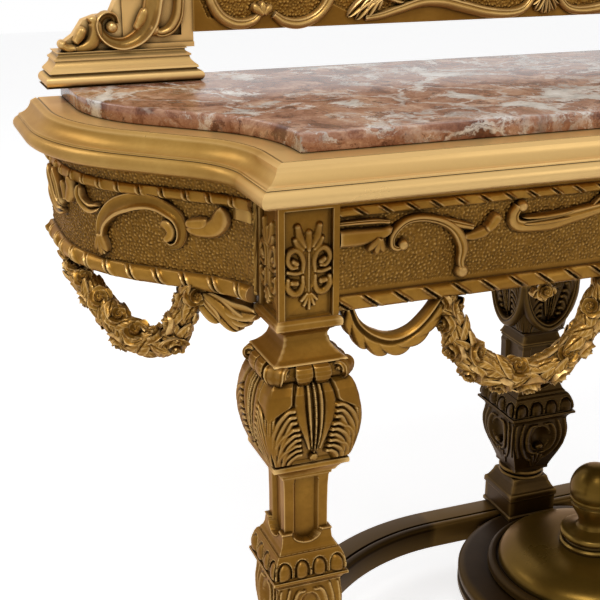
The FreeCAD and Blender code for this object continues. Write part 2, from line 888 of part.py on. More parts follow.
def leg_shape(x, y, head_halves, scale, bulb_drop, egg_drop):
    """A square-section leg: the part that its front and side silhouettes share."""
    side_half, front_half, back_half = head_halves
    reach = V.head_depth * 2
    across = section(leg_profile(side_half, side_half, scale, bulb_drop, egg_drop),
                     lambda a, b: Vector(x + a, y - reach, b))
    along = section(leg_profile(front_half, back_half, scale, bulb_drop, egg_drop),
                    lambda a, b: Vector(x - reach, y + a, b))
    shape = across.extrude(Vector(0, 2 * reach, 0)).common(along.extrude(Vector(2 * reach, 0, 0)))
    radius = scale * V.bulb_round / 2
    low = V.bulb_low - bulb_drop
    slab = box_shape(x - reach, y - reach, low, x + reach, y + reach, V.roll_low)
    barrel = Part.makeCylinder(radius, V.roll_low - low, Vector(x, y, low))
    shape = shape.cut(slab.cut(barrel))
    ring = Part.makeCylinder(scale * V.ring_width / 2, V.vase_low - V.ring_low,
                             Vector(x, y, V.ring_low))
    spigot = Part.makeCylinder(V.spigot_width / 2, V.spigot_long + 1,
                               Vector(x, y, V.stretcher_top - V.spigot_long))
    return fused([shape, ring, spigot])


def panel_windows(x, y, half, outward):
    """Recesses in the front and outer faces of a front leg's head."""
    low = V.head_low + 9 + V.panel_margin
    high = V.frame_top - V.panel_margin
    inner = half - V.panel_margin
    deep = V.panel_deep
    front = box_shape(x - inner, y - half, low, x + inner, y - half + deep, high)
    if outward < 0:
        side = box_shape(x - half, y - inner, low, x - half + deep, y + inner, high)
    else:
        side = box_shape(x + half - deep, y - inner, low, x + half, y + inner, high)
    return [front, side]


def make_legs():
    half = V.head_width / 2
    middle = (V.apron_low + V.frame_top) / 2
    cheek = (V.frame_top - V.apron_low) / 2 - V.tenon_inset
    inner = -V.leg_x + half
    mortise = box_shape(inner - V.tenon_long, V.apron_face, middle - cheek,
                        inner, V.apron_face + V.tenon_thick, middle + cheek)
    halves = (half, half, V.head_depth - half)
    leg = leg_shape(-V.leg_x, V.leg_y, halves, 1.0, 0.0, 0.0)
    leg = leg.cut(mortise)
    for window in panel_windows(-V.leg_x, V.leg_y, half, -1):
        leg = leg.cut(window)
    solid_feature("leg_front_left", single(leg))
    solid_feature("leg_front_right", mirrored(single(leg)))

    wide = V.rear_half
    rear = leg_shape(0, V.rear_y, (wide, wide, wide), V.rear_scale, V.rear_bulb_drop,
                     V.rear_egg_drop)
    keep_out = box_shape(-2 * wide, V.back_face, V.head_low - 2, 2 * wide,
                         V.back_face + 2 * wide, V.frame_top + 1)
    solid_feature("leg_rear", single(rear.cut(keep_out)))

    places = [
        ("foot_front_left", -S.leg_x, S.leg_y),
        ("foot_front_right", S.leg_x, S.leg_y),
        ("foot_rear", None, S.rear_y),
    ]
    for name, x, y in places:
        make_foot(name, x, y)


def make_foot(name, x, y):
    """A turned bun foot with a socket for the leg's spigot."""
    body = new_body(name)
    socket = S.spigot_width / 2 + S.spigot_play
    floor = S.stretcher_top - S.spigot_long - 1
    wide = S.foot_width / 2
    waist = S.foot_waist / 2
    high = S.stretcher_low
    tread = high * 0.07
    crown = high * 0.86
    collar = waist * 1.25
    outline = [
        (0, 0),
        (waist * 0.9, 0),
        (waist, tread),
        (waist, crown, bow_radius(crown - tread, wide - waist), (wide, (crown + tread) / 2)),
        (collar, high * 0.9),
        (collar, high),
        (socket, high),
        (socket, floor),
        (0, floor),
    ]
    turn(body, draw(body, name + "_profile", "XZ_Plane", outline))
    if x is not None:
        bind(body, Placement__Base__x=x)
    bind(body, Placement__Base__y=y)


def bow_radius(chord, bulge):
    """Radius of an arc from its chord and its height, as a formula."""
    value = (float(chord) ** 2 / 4 + float(bulge) ** 2) / (2 * float(bulge))
    formula = "((%s) ^ 2 / 4 + (%s) ^ 2) / (2 * (%s))" % (
        formula_of(chord), formula_of(bulge), formula_of(bulge))
    return Size(value, formula)


# ---------------------------------------------------------------------------------------------
# Stretcher, dome and finial
# ---------------------------------------------------------------------------------------------

def make_stretcher():
    outer = S.bend_radius
    inner = S.bend_radius - S.stretcher_width
    radius = S.spigot_width / 2 + S.spigot_play
    half_pad = S.pad_width / 2
    for side, name in ((-1, "stretcher_arm_left"), (1, "stretcher_arm_right")):
        x = side * S.bend_x
        far = side * (S.bend_x + outer)
        near = side * (S.bend_x + inner)
        y = S.bend_y
        ring = [
            (x, y + outer),
            (far, y, outer, (x + side * outer * C45, y + outer * C45)),
            (near, y),
            (x, y + inner, inner, (x + side * inner * C45, y + inner * C45)),
        ]
        arm = plate(name, ring, S.stretcher_low, S.stretcher_thick)
        leg = side * S.leg_x
        square = [
            (leg - half_pad, S.leg_y - half_pad),
            (leg + half_pad, S.leg_y - half_pad),
            (leg + half_pad, S.leg_y + half_pad),
            (leg - half_pad, S.leg_y + half_pad),
        ]
        pad(arm, draw(arm, name + "_pad_plan", "XY_Plane", square), S.stretcher_thick)
        bored(arm, name + "_socket", leg, S.leg_y, radius, S.stretcher_thick)

    rail_outline = [
        (-S.bend_x, S.stretcher_front),
        (S.bend_x, S.stretcher_front),
        (S.bend_x, S.stretcher_back),
        (-S.bend_x, S.stretcher_back),
    ]
    rail = plate("stretcher_rail", rail_outline, S.stretcher_low, S.stretcher_thick)
    bored(rail, "stretcher_rail_socket", 0, S.rear_y, radius, S.stretcher_thick)

    make_platform()
    make_dowels()


def make_platform():
    """A round platform in front of the rail, joined to it by a short neck."""
    body = new_body("stretcher_platform")
    wide = S.platform_width / 2
    thick = S.stretcher_thick
    step = S.platform_step
    outline = [
        (0, 0),
        (wide - step / 2, 0),
        (wide, step / 2),
        (wide, thick - step),
        (wide - step, thick, step, (wide - step * 0.3, thick - step * 0.3)),
        (0, thick),
    ]
    turn(body, draw(body, "platform_profile", "XZ_Plane", outline))
    back = S.stretcher_front + S.platform_place
    neck = [
        (-S.neck_half, 0),
        (S.neck_half, 0),
        (S.neck_half, back),
        (-S.neck_half, back),
    ]
    pad(body, draw(body, "platform_neck", "XY_Plane", neck), thick)
    trim = [
        (-wide, back),
        (wide, back),
        (wide, back + S.stretcher_width),
        (-wide, back + S.stretcher_width),
    ]
    sketch = draw(body, "platform_trim", "XY_Plane", trim)
    pocket = body.newObject("PartDesign::Pocket", "platform_trim_cut")
    pocket.Profile = sketch
    pocket.Reversed = True
    bind(pocket, Length=thick)
    bind(body, Placement__Base__y=-S.platform_place, Placement__Base__z=S.stretcher_low)


def make_dowels():
    """Dowels that hold the arms and the platform to the rail, and their holes."""
    radius = V.dowel_width / 2
    half = V.dowel_long / 2
    z = V.stretcher_low + V.stretcher_thick / 2
    x = V.bend_x
    middle = (V.stretcher_front + V.stretcher_back) / 2
    spread = V.stretcher_width / 4
    sideways = [(side * x - half, middle + shift) for side in (-1, 1) for shift in (-spread, spread)]
    dowels = [Part.makeCylinder(radius, V.dowel_long, Vector(a, b, z), Vector(1, 0, 0))
              for a, b in sideways]
    forward = [side * V.neck_half * 0.7 for side in (-1, 1)]
    dowels += [Part.makeCylinder(radius, V.dowel_long, Vector(a, V.stretcher_front - half, z),
                                 Vector(0, 1, 0)) for a in forward]
    solid_feature("stretcher_dowels", Part.makeCompound(dowels))


def drill_for_dowels():
    """Replace the doweled pieces by the same pieces with their dowel holes."""
    radius = V.dowel_width / 2 + GAP
    reach = V.dowel_long / 2 + GAP
    z = V.stretcher_low + V.stretcher_thick / 2
    middle = (V.stretcher_front + V.stretcher_back) / 2
    spread = V.stretcher_width / 4
    holes = []
    for side in (-1, 1):
        for shift in (-spread, spread):
            start = Vector(side * V.bend_x - reach, middle + shift, z)
            holes.append(Part.makeCylinder(radius, 2 * reach, start, Vector(1, 0, 0)))
        start = Vector(side * V.neck_half * 0.7, V.stretcher_front - reach, z)
        holes.append(Part.makeCylinder(radius, 2 * reach, start, Vector(0, 1, 0)))
    tool = doc.addObject("Part::Feature", "dowel_holes")
    tool.Shape = Part.makeCompound(holes)
    names = ["stretcher_arm_left", "stretcher_arm_right", "stretcher_rail", "stretcher_platform"]
    for name in names:
        base = next(feature for feature in finished if feature.Label == name)
        finished.remove(base)
        base.Label = name + "_blank"
        cut = doc.addObject("Part::Cut", name + "_drilled")
        cut.Base = base
        cut.Tool = tool
        finish(cut, name)


def make_dome():
    """Moulded ring, low dome and ball finial, stacked on the platform."""
    hole = S.dowel_width + GAP
    ring = new_body("dome_ring")
    wide = S.ring_plate_width / 2
    high = S.ring_plate_high
    outline = [
        (0, 0),
        (wide, 0),
        (wide, high * 0.4),
        (wide - high * 0.5, high, high * 0.62, (wide - high * 0.1, high * 0.75)),
        (0, high),
    ]
    turn(ring, draw(ring, "dome_ring_profile", "XZ_Plane", outline))
    bind(ring, Placement__Base__y=-S.platform_place, Placement__Base__z=S.stretcher_top)

    dome = new_body("dome")
    foot = S.dome_width / 2
    crown = S.dome_crown / 2
    rise = S.dome_high
    outline = [
        (hole, 0),
        (foot, 0),
        (foot, rise * 0.1),
        (crown, rise, S.dome_width * 0.72, (foot * 0.75, rise * 0.62)),
        (hole, rise),
    ]
    turn(dome, draw(dome, "dome_profile", "XZ_Plane", outline))
    bind(dome, Placement__Base__y=-S.platform_place, Placement__Base__z=S.plate_top)

    finial = new_body("finial")
    collar = S.finial_collar / 2
    neck = S.finial_neck / 2
    ball = S.ball_width / 2
    top = S.finial_high
    peg = S.dome_high - 4
    spike = S.dowel_width
    tip = S.ball_flat
    centre = top - ball
    low = centre - ball * 0.8
    outline = [
        (0, -peg),
        (spike, -peg),
        (spike, 0),
        (collar - 6, 0),
        (collar - 2, 8, 6, (collar - 1, 3)),
        (collar - 10, 14),
        (collar, 18),
        (collar - 4, 26, 5, (collar + 0.5, 23)),
        (neck, 34),
        (neck, low),
        (ball * 0.6, low),
        (tip, top, ball, (ball * 0.95, centre + ball * 0.3)),
        (0, top),
    ]
    turn(finial, draw(finial, "finial_profile", "XZ_Plane", outline))
    bind(finial, Placement__Base__y=-S.platform_place, Placement__Base__z=S.dome_top)


# ---------------------------------------------------------------------------------------------
# Garlands
# ---------------------------------------------------------------------------------------------

def swag(centre, along, span, sag, core, beads):
    """A swag between two points at the height of centre, thickened by round bunches.

    It is a half ring with straight drops where it hangs deeper than half its span, and a
    shallower arc where it does not. Beads are (share of the way round, radius)."""
    half = span / 2
    up = Vector(0, 0, 1)
    axis = along.cross(up)
    if sag >= half:
        radius = half
        drop = sag - half
        middle = centre - up * drop
        open_angle = 90.0
    else:
        radius = (half * half + sag * sag) / (2 * sag)
        drop = 0.0
        middle = centre + up * (radius - sag)
        open_angle = math.degrees(math.asin(half / radius))

    def at(angle):
        turned = math.radians(angle)
        return middle + along * (radius * math.sin(turned)) - up * (radius * math.cos(turned))

    ring = Part.makeTorus(radius, core, Vector(0, 0, 0), up, 0, 360, 2 * open_angle)
    toward_start = at(-open_angle) - middle
    ring.Placement = Placement(middle, Rotation(toward_start, Vector(0, 0, 0), axis, "ZXY"))
    parts = [ring]
    if drop > 0:
        for side in (-1, 1):
            foot = middle + along * (side * radius)
            parts.append(Part.makeCylinder(core, drop, foot, up))
    for share, bead in beads:
        place = at(open_angle * share)
        parts.append(Part.makeSphere(bead, place, axis.cross(place - middle)))
    shape = fused(parts)
    if open_angle < 90:
        deep = 4 * span
        top = box_shape(centre.x - deep, centre.y - deep, centre.z, centre.x + deep,
                        centre.y + deep, centre.z + deep)
        shape = shape.cut(top)
    return single(shape)


def make_garlands():
    up = V.apron_low
    y = V.apron_face + V.garland_inset
    along = Vector(1, 0, 0)
    count = 9
    roses = []
    for index in range(count):
        share = -0.84 + 1.68 * index / (count - 1)
        swell = math.cos(math.radians(80) * share)
        roses.append((share, V.rose_core + 2 + (V.rose_large - V.rose_core - 2) * swell))
    rose = swag(Vector(-V.rose_place, y, up), along, V.rose_span, V.rose_span / 2,
                V.rose_core, roses)
    solid_feature("rose_garland_front_left", rose)
    solid_feature("rose_garland_front_right", mirrored(rose))
    leaves = [(0, V.leaf_core + 3)]
    leaf = swag(Vector(-V.leaf_place, y, up), along, V.leaf_span, V.leaf_span / 2,
                V.leaf_core, leaves)
    solid_feature("leaf_swag_front_left", leaf)
    solid_feature("leaf_swag_front_right", mirrored(leaf))
    centre = swag(Vector(0, y, up), along, V.centre_span, V.centre_span * 0.32, V.leaf_core,
                  leaves)
    solid_feature("leaf_swag_centre", centre)

    rows = [
        ("rose_garland", V.side_rose_start, V.side_rose_end, V.side_rose_sag, V.rose_core, roses),
        ("leaf_swag", V.side_leaf_start, V.side_leaf_end, V.side_leaf_sag, V.leaf_core, leaves),
    ]
    for name, first, last, sag, core, beads in rows:
        start, _ = side_point(first, -V.side_setback - V.garland_inset)
        stop, _ = side_point(last, -V.side_setback - V.garland_inset)
        chord = stop - start
        middle = (start + stop) * 0.5 + Vector(0, 0, up)
        direction = Vector(chord)
        direction.normalize()
        shape = swag(middle, direction, chord.Length, sag, core, beads)
        solid_feature(name + "_left", shape)
        solid_feature(name + "_right", mirrored(shape))


# ---------------------------------------------------------------------------------------------
# Applied carving
# ---------------------------------------------------------------------------------------------

def scroll(start, heading, bends, width):
    """Flat faces of a scroll: a band that walks from start through bends of (radius, turn).

    A turn to the left is positive. The band ends in a round eye."""
    faces = []
    x, y = start
    for radius, bend in bends:
        side = 1 if bend > 0 else -1
        normal = math.radians(heading + 90 * side)
        cx = x + radius * math.cos(normal)
        cy = y + radius * math.sin(normal)
        first = math.degrees(math.atan2(y - cy, x - cx))
        low, high = sorted((first, first + bend))
        outer = radius + width / 2
        inner = max(radius - width / 2, 0.5)
        centre = Vector(cx, cy, 0)
        edges = [Part.makeCircle(r, centre, Vector(0, 0, 1), low, high) for r in (outer, inner)]
        ends = [(edge.valueAt(edge.FirstParameter), edge.valueAt(edge.LastParameter))
                for edge in edges]
        caps = [Part.LineSegment(ends[0][k], ends[1][k]).toShape() for k in (0, 1)]
        wire = Part.Wire([edges[0], caps[1], edges[1], caps[0]])
        faces.append(Part.Face(wire))
        last = math.radians(first + bend)
        x = cx + radius * math.cos(last)
        y = cy + radius * math.sin(last)
        heading += bend
    faces.append(disc_face(x, y, width * 0.8))
    return faces


def disc_face(x, y, radius):
    return Part.Face(Part.Wire(Part.makeCircle(radius, Vector(x, y, 0))))


def leaf_face(root, tip, width):
    """A pointed leaf between two points, bounded by two arcs."""
    start = Vector(*root, 0)
    stop = Vector(*tip, 0)
    across = (stop - start).cross(Vector(0, 0, 1))
    across.normalize()
    middle = start + (stop - start) * 0.45
    one = Part.Arc(start, middle + across * (width / 2), stop).toShape()
    two = Part.Arc(stop, middle - across * (width / 2), start).toShape()
    return Part.Face(Part.Wire([one, two]))


def raise_faces(faces, place, thick):
    """Turn flat faces into one carved layer standing on a plane."""
    solids = [face.extrude(Vector(0, 0, thick)) for face in faces]
    layer = fused(solids)
    layer.Placement = place
    return layer


def front_plane(y):
    """Placement that stands a flat drawing up in a plane that faces the front."""
    return Placement(Vector(0, y, 0), Rotation(Vector(1, 0, 0), 90))


def frieze_band():
    """Heights between which the carving lies: above the rope and below the twist."""
    return V.apron_low + V.rope_high, V.frame_top - V.twist_drop - V.twist_high


def laid_out(faces, unit, x, z):
    """Faces of a drawing, enlarged to the pattern's unit and moved to the place (x, z)."""
    placed = []
    for face in faces:
        copy = face.copy()
        copy.scale(unit)
        copy.translate(Vector(x, z, 0))
        placed.append(copy)
    return placed


def make_front_carving():
    """A C-scroll with leaves beside the leg and a long ribbon scroll that leads to the middle."""
    left = -V.leg_x + V.head_width / 2
    low, high = frieze_band()
    unit = (high - low) / FRIEZE_DRAWING
    width = V.scroll_width / unit
    outer = scroll((167, 20), 96, [(66, 34), (30, 105), (16, 120)], width)
    outer += [
        leaf_face((3, 104), (84, 96), 24),
        leaf_face((165, 58), (225, 84), 18),
        leaf_face((147, 94), (40, 86), 16),
    ]
    inner = scroll((-166, 80), 205, [(160, -28), (30, -140)], width)
    inner += [
        leaf_face((-250, 60), (-150, 80), 14),
        leaf_face((-176, 84), (-4, 104), 20),
    ]
    faces = laid_out(outer, unit, left, low) + laid_out(inner, unit, 0, low)
    layer = raise_faces(faces, front_plane(V.apron_face), V.relief)
    field = box_shape(left, V.apron_face - V.relief, low, 0, V.apron_face, high)
    left_part = Part.makeCompound(layer.common(field).Solids)
    solid_feature("front_carving_left", left_part)
    solid_feature("front_carving_right", mirrored(left_part))


def make_side_carving():
    """Scroll and leaves on the curved side, cut from a layer that follows the apron."""
    run_middle = V.corner_run + V.hollow_radius * math.radians(45)
    anchor, normal = side_point(run_middle + side_plan(V, 0).slope * C45, 0)
    axis_x = Vector(-normal.y, normal.x, 0)
    place = Placement(anchor, Rotation(axis_x, Vector(0, 0, 1), normal, "ZXY"))
    low, high = frieze_band()
    unit = (high - low) / FRIEZE_DRAWING
    width = V.scroll_width / unit
    faces = scroll((-104, 12), 152, [(30, -100), (104, -62), (36, -170), (17, -150)], width)
    faces += [
        leaf_face((-112, 68), (-168, 102), 22),
        leaf_face((24, 78), (70, 68), 24),
    ]
    drawing = raise_faces(laid_out(faces, unit, 0, low), place, V.hollow_radius)
    drawing.translate(normal * (-V.hollow_radius * 0.7))
    layer_profile = [
        (-V.side_setback, low),
        (-V.side_setback, high),
        (-V.side_setback + V.relief, high),
        (-V.side_setback + V.relief, low),
    ]
    layer = side_run(layer_profile, V.leg_y, V.wall - V.back_overhang)
    carving = layer.common(drawing).cut(head_box())
    part = Part.makeCompound(carving.Solids)
    solid_feature("side_carving_left", part)
    solid_feature("side_carving_right", mirrored(part))


def make_panel_carvings():
    """Volutes and leaves in the recessed panels of the front legs' heads."""
    low = V.head_low + 9 + V.panel_margin
    high = V.frame_top - V.panel_margin
    middle = (low + high) / 2
    reach = V.head_width / 2 - V.panel_margin - 4
    eye = reach * 0.42
    faces = [leaf_face((0, middle + 18), (0, high - 12), 2 * eye)]
    faces += [leaf_face((0, middle - 26), (0, low + 14), 2 * eye)]
    for side in (-1, 1):
        for lift in (-16, 16):
            faces.append(disc_face(side * (reach - eye), middle + lift, eye))
    stem = [Vector(-4, middle - 30, 0), Vector(4, middle - 30, 0), Vector(4, middle + 22, 0),
            Vector(-4, middle + 22, 0)]
    faces.append(Part.Face(Part.makePolygon(stem + stem[:1])))
    bar = [Vector(-reach + eye, middle - 3, 0), Vector(reach - eye, middle - 3, 0),
           Vector(reach - eye, middle + 3, 0), Vector(-reach + eye, middle + 3, 0)]
    faces.append(Part.Face(Part.makePolygon(bar + bar[:1])))
    thick = V.panel_deep - 1
    front = Placement(Vector(-V.leg_x, V.leg_face + V.panel_deep, 0), Rotation(Vector(1, 0, 0), 90))
    outer = Placement(
        Vector(-V.leg_x - V.head_width / 2 + V.panel_deep, V.leg_y, 0),
        Rotation(Vector(0, -1, 0), Vector(0, 0, 1), Vector(-1, 0, 0), "ZXY"))
    solids = []
    for place in (front, outer):
        for solid in raise_faces(faces, place, thick).Solids:
            solids += [solid, mirrored(solid)]
    solid_feature("leg_panel_carvings", Part.makeCompound(solids))


# ---------------------------------------------------------------------------------------------
# Low crest on the marble
# ---------------------------------------------------------------------------------------------

def plinth_profile(half, taper):
    """Half section of the moulded plinth: torus, fillet, ogee and cap, from the bottom up."""
    z = V.top_height
    high = V.plinth_high
    return [
        (half - 3, z),
        (half - 3, z + high * 0.24, (half, z + high * 0.12)),
        (half - 5, z + high * 0.24),
        (half - taper * 0.55, z + high * 0.58, (half - taper * 0.42, z + high * 0.36)),
        (half - taper * 0.8, z + high * 0.86, (half - taper * 0.82, z + high * 0.7)),
        (half - taper * 0.7, z + high * 0.86),
        (half - taper * 0.7, z + high),
    ]


def make_plinths():
    half = V.plinth_width / 2
    deep = V.plinth_deep
    right = plinth_profile(half, V.plinth_taper)
    left = [mirror_point(right, index) for index in range(len(right) - 1, -1, -1)]
    across = section(right + left, lambda a, b: Vector(a - V.plinth_place, V.wall - 2 * deep, b))
    front = [mirror_point(plinth_profile(deep, V.plinth_taper), index)
             for index in range(len(right) - 1, -1, -1)]
    rear = [(0, V.top_height), (0, V.top_height + V.plinth_high)]
    along = section(rear + front, lambda a, b: Vector(-V.plinth_place - 2 * half, V.wall + a, b))
    shape = across.extrude(Vector(0, 3 * deep, 0)).common(along.extrude(Vector(4 * half, 0, 0)))
    solid_feature("plinth_left", single(shape))
    solid_feature("plinth_right", mirrored(single(shape)))


def make_crest():
    front = S.crest_front
    plinth_top = S.top_height + S.plinth_high
    for side, name in ((-1, "stile_left"), (1, "stile_right")):
        x = side * (S.crest_half - S.stile_width / 2) - S.stile_width / 2
        stile = box_feature(name, x, front, plinth_top, S.stile_width, S.crest_thick,
                            S.crest_top - plinth_top)
        finish(stile, name)
    rail = box_feature("crest_rail", -S.stile_inner, front, S.crest_low, 2 * S.stile_inner,
                       S.crest_thick, S.crest_high)
    finish(rail, "crest_rail")
    cap_half = S.crest_half + S.cap_reach
    cap = box_feature("crest_cap", -cap_half, front - S.cap_reach, S.crest_top, 2 * cap_half,
                      S.crest_thick + S.cap_reach, S.cap_high)
    finish(cap, "crest_cap")
    make_brackets()
    make_crest_carving()


def make_brackets():
    """Pierced scroll brackets outside the stiles."""
    base = V.top_height + V.plinth_high
    stile = -V.crest_half
    outer = -V.plinth_place - V.plinth_width / 2 + V.plinth_taper
    width = V.scroll_width
    faces = scroll((stile - 6, V.crest_top), 262, [(90, -18), (46, -92), (22, -150)], width)
    faces.append(leaf_face((stile - 34, base + 4), (outer + 2, base + 14), 22))
    faces.append(leaf_face((stile - 40, base + 8), (stile - 62, base + 52), 26))
    foot = [Vector(outer, base, 0), Vector(stile, base, 0), Vector(stile, base + 16, 0),
            Vector(outer, base + 8, 0)]
    faces.append(Part.Face(Part.makePolygon(foot + foot[:1])))
    bracket = raise_faces(faces, front_plane(V.crest_front + V.crest_thick - 4),
                          V.crest_thick - 8)
    bounds = box_shape(outer - 60, V.crest_front, base, stile, V.wall, V.crest_top)
    shape = single(bracket.common(bounds))
    solid_feature("bracket_left", shape)
    solid_feature("bracket_right", mirrored(shape))


def make_crest_carving():
    """Long scrolls and a middle palmette on the rail."""
    unit = V.crest_high / CREST_DRAWING
    outer = scroll((56, 12), 10, [(140, 24), (24, 150)], V.scroll_width / unit)
    outer += [
        leaf_face((176, 24), (96, 14), 16),
        leaf_face((166, 24), (346, 16), 18),
    ]
    inner = [leaf_face((-270, 14), (-50, 28), 18)]
    reach = 44
    for angle in (30, 60, 90, 120, 150):
        turned = math.radians(angle)
        tip = (reach * math.cos(turned), 8 + reach * math.sin(turned))
        inner.append(leaf_face((0, 6), tip, 14))
    faces = laid_out(outer, unit, -V.stile_inner, V.crest_low)
    faces += laid_out(inner, unit, 0, V.crest_low)
    layer = raise_faces(faces, front_plane(V.crest_front), V.relief - 2)
    rail_face = box_shape(-V.stile_inner, V.crest_front - V.relief, V.crest_low,
                          V.stile_inner, V.crest_front, V.crest_top)
    shape = fused([layer, mirrored(layer)]).common(rail_face)
    solid_feature("crest_carving", Part.makeCompound(shape.Solids))


# ---------------------------------------------------------------------------------------------
# Whole table
# ---------------------------------------------------------------------------------------------

def check_and_write():
    doc.recompute()
    for item in doc.Objects:
        if "Invalid" in item.State or "Error" in item.State:
            raise RuntimeError("failed: " + item.Label)
    os.makedirs("parts", exist_ok=True)
    names = [feature.Label for feature in finished]
    if len(set(names)) != len(names) or len(names) > 60:
        raise RuntimeError("sub-part names")
    for feature in finished:
        shape = feature.Shape
        if shape.isNull() or not shape.isValid() or not shape.Solids:
            raise RuntimeError("bad shape: " + feature.Label)
        if min(solid.Volume for solid in shape.Solids) <= 0:
            raise RuntimeError("inside out: " + feature.Label)
    for feature in finished:
        feature.Shape.exportStep("parts/%s.step" % feature.Label)
    print("%d sub-parts written" % len(finished))


make_top()
make_aprons()
make_bearers()
make_small_mouldings()
make_legs()
make_stretcher()
drill_for_dowels()
make_dome()
make_garlands()
make_front_carving()
make_side_carving()
make_panel_carvings()
make_plinths()
make_crest()
check_and_write()
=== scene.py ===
import math
import random

import bpy
import numpy as np
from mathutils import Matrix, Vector


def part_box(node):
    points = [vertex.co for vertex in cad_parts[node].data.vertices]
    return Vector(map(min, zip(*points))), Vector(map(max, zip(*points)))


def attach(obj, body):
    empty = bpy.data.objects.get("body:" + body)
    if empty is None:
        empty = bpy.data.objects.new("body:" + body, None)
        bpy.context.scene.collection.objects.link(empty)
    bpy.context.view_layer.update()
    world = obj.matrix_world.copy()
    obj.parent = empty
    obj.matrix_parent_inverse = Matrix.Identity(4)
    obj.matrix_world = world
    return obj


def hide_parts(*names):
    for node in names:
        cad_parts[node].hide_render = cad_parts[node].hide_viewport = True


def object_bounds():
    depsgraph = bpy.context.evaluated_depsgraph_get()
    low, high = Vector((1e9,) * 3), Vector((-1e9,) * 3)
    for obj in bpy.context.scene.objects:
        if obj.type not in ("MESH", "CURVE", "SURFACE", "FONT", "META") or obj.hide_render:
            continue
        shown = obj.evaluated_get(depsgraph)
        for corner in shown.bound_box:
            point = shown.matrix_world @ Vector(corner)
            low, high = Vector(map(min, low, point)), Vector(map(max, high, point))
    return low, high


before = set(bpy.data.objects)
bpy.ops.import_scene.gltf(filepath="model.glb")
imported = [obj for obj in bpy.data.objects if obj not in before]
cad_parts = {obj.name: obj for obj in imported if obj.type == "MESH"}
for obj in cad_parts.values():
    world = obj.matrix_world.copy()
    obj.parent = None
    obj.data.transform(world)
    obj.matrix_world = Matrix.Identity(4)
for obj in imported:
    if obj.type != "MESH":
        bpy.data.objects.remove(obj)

# A gilded pier table. Lengths are millimetres, with +X to the right, +Y to the wall and +Z up; a
# piece is turned to metres when it is made. "run" is a length along the left groove line from the
# front corner, "reach" a distance outside that line.
cad_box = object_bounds()
MM = 0.001


# --- sizes ---

def node_box(node):
    """A node's lowest and highest corner."""
    low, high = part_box(node)
    return [c / MM for c in low], [c / MM for c in high]


SURROUND_LOW, SURROUND_HIGH = node_box("surround_front")
APRON_LOW, APRON_HIGH = node_box("apron_front")
ROPE_LOW, ROPE_HIGH = node_box("rope_front")
CAD_HIGH = [c / MM for c in cad_box[1]]
WALL = CAD_HIGH[1]
# The plan: NOSE is the moulding outside the groove line. The side goes from a short straight run
# through a hollow, a slope and a belly to a straight run into the wall.
NOSE = 36
GROOVE_Y = SURROUND_LOW[1] + NOSE
CORNER = SURROUND_HIGH[0] - NOSE
CORNER_RUN = 57
HOLLOW = 155
BELLY = 256
C45 = math.sqrt(0.5)
SWEEP = CAD_HIGH[0] - NOSE - CORNER
SLOPE = SWEEP - (1 - C45) * (HOLLOW + BELLY)
HOLLOW_X = -(CORNER + HOLLOW)
HOLLOW_Y = GROOVE_Y + CORNER_RUN
BELLY_X = HOLLOW_X + C45 * (HOLLOW + BELLY) - SLOPE
BELLY_Y = HOLLOW_Y + C45 * (HOLLOW + BELLY) + SLOPE
EIGHTH = math.radians(45)
RUN_HOLLOW_END = CORNER_RUN + HOLLOW * EIGHTH
RUN_BELLY_START = RUN_HOLLOW_END + SLOPE / C45
RUN_BELLY_END = RUN_BELLY_START + BELLY * EIGHTH
RUN_END = RUN_BELLY_END + WALL - BELLY_Y
APRON_FACE = APRON_LOW[1]
APRON_BOTTOM = APRON_LOW[2]
FRAME_TOP = APRON_HIGH[2]
SIDE_REACH = -10
HALF_FRONT = ROPE_HIGH[0]


# --- mesh building ---

class Build:
    """Points and faces of one piece."""

    def __init__(self):
        self.points = []
        self.faces = []
        self.count = 0

    def add(self, points, faces):
        """Add points, and faces that count them from 0."""
        points = np.asarray(points, float).reshape(-1, 3)
        self.points.append(points)
        self.faces += [tuple(int(i) + self.count for i in face) for face in faces]
        self.count += len(points)

    def grid(self, surface, wrap=False, flip=False):
        """Add an array of points, rows by columns, as a sheet of quads."""
        rows, columns = np.shape(surface)[:2]
        index = np.arange(rows * columns).reshape(rows, columns)
        if wrap:
            index = np.hstack([index, index[:, :1]])
        quads = np.stack([index[:-1, :-1], index[:-1, 1:], index[1:, 1:], index[1:, :-1]], -1).reshape(
            -1, 4)
        self.add(surface, quads[:, ::-1] if flip else quads)

    def cap(self, ring, flip=False):
        """Close a ring of points with one face."""
        order = list(range(len(ring)))
        self.add(ring, [order[::-1] if flip else order])

    def merge(self, other, move=lambda points: points):
        """Add another build, its points moved by a function of the point array."""
        self.add(move(np.vstack(other.points)), other.faces)

    def mirror(self):
        """A copy on the other side of the middle plane."""
        copy = Build()
        copy.add(np.vstack(self.points) * (-1, 1, 1), [face[::-1] for face in self.faces])
        return copy


def make_piece(name, build, material, replaces, slot="gilt_wood", sharp=38, weld=True):
    """Turn a build into an object that rides on the table's body."""
    data = bpy.data.meshes.new(name)
    points = np.vstack(build.points) * MM
    data.from_pydata(points.tolist(), [], build.faces)
    if weld:
        weld_points(data)
    data.shade_smooth()
    data.set_sharp_from_angle(angle=math.radians(sharp))
    data.materials.append(material)
    obj = bpy.data.objects.new(name, data)
    bpy.context.scene.collection.objects.link(obj)
    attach(obj, "root")
    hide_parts(*replaces)


def make_pair(name, build, material, node, **more):
    """A piece on the left side and its mirror on the right."""
    make_piece(name + "_left", build, material, [node + "_left"], **more)
    make_piece(name + "_right", build.mirror(), material, [node + "_right"], **more)


def beside(line, normal, across, out):
    """Points at distances across a path, rows along it, raised by out."""
    flat = line[:, None, :] + normal[:, None, :] * across[..., None]
    return np.concatenate([flat, out[..., None]], -1)


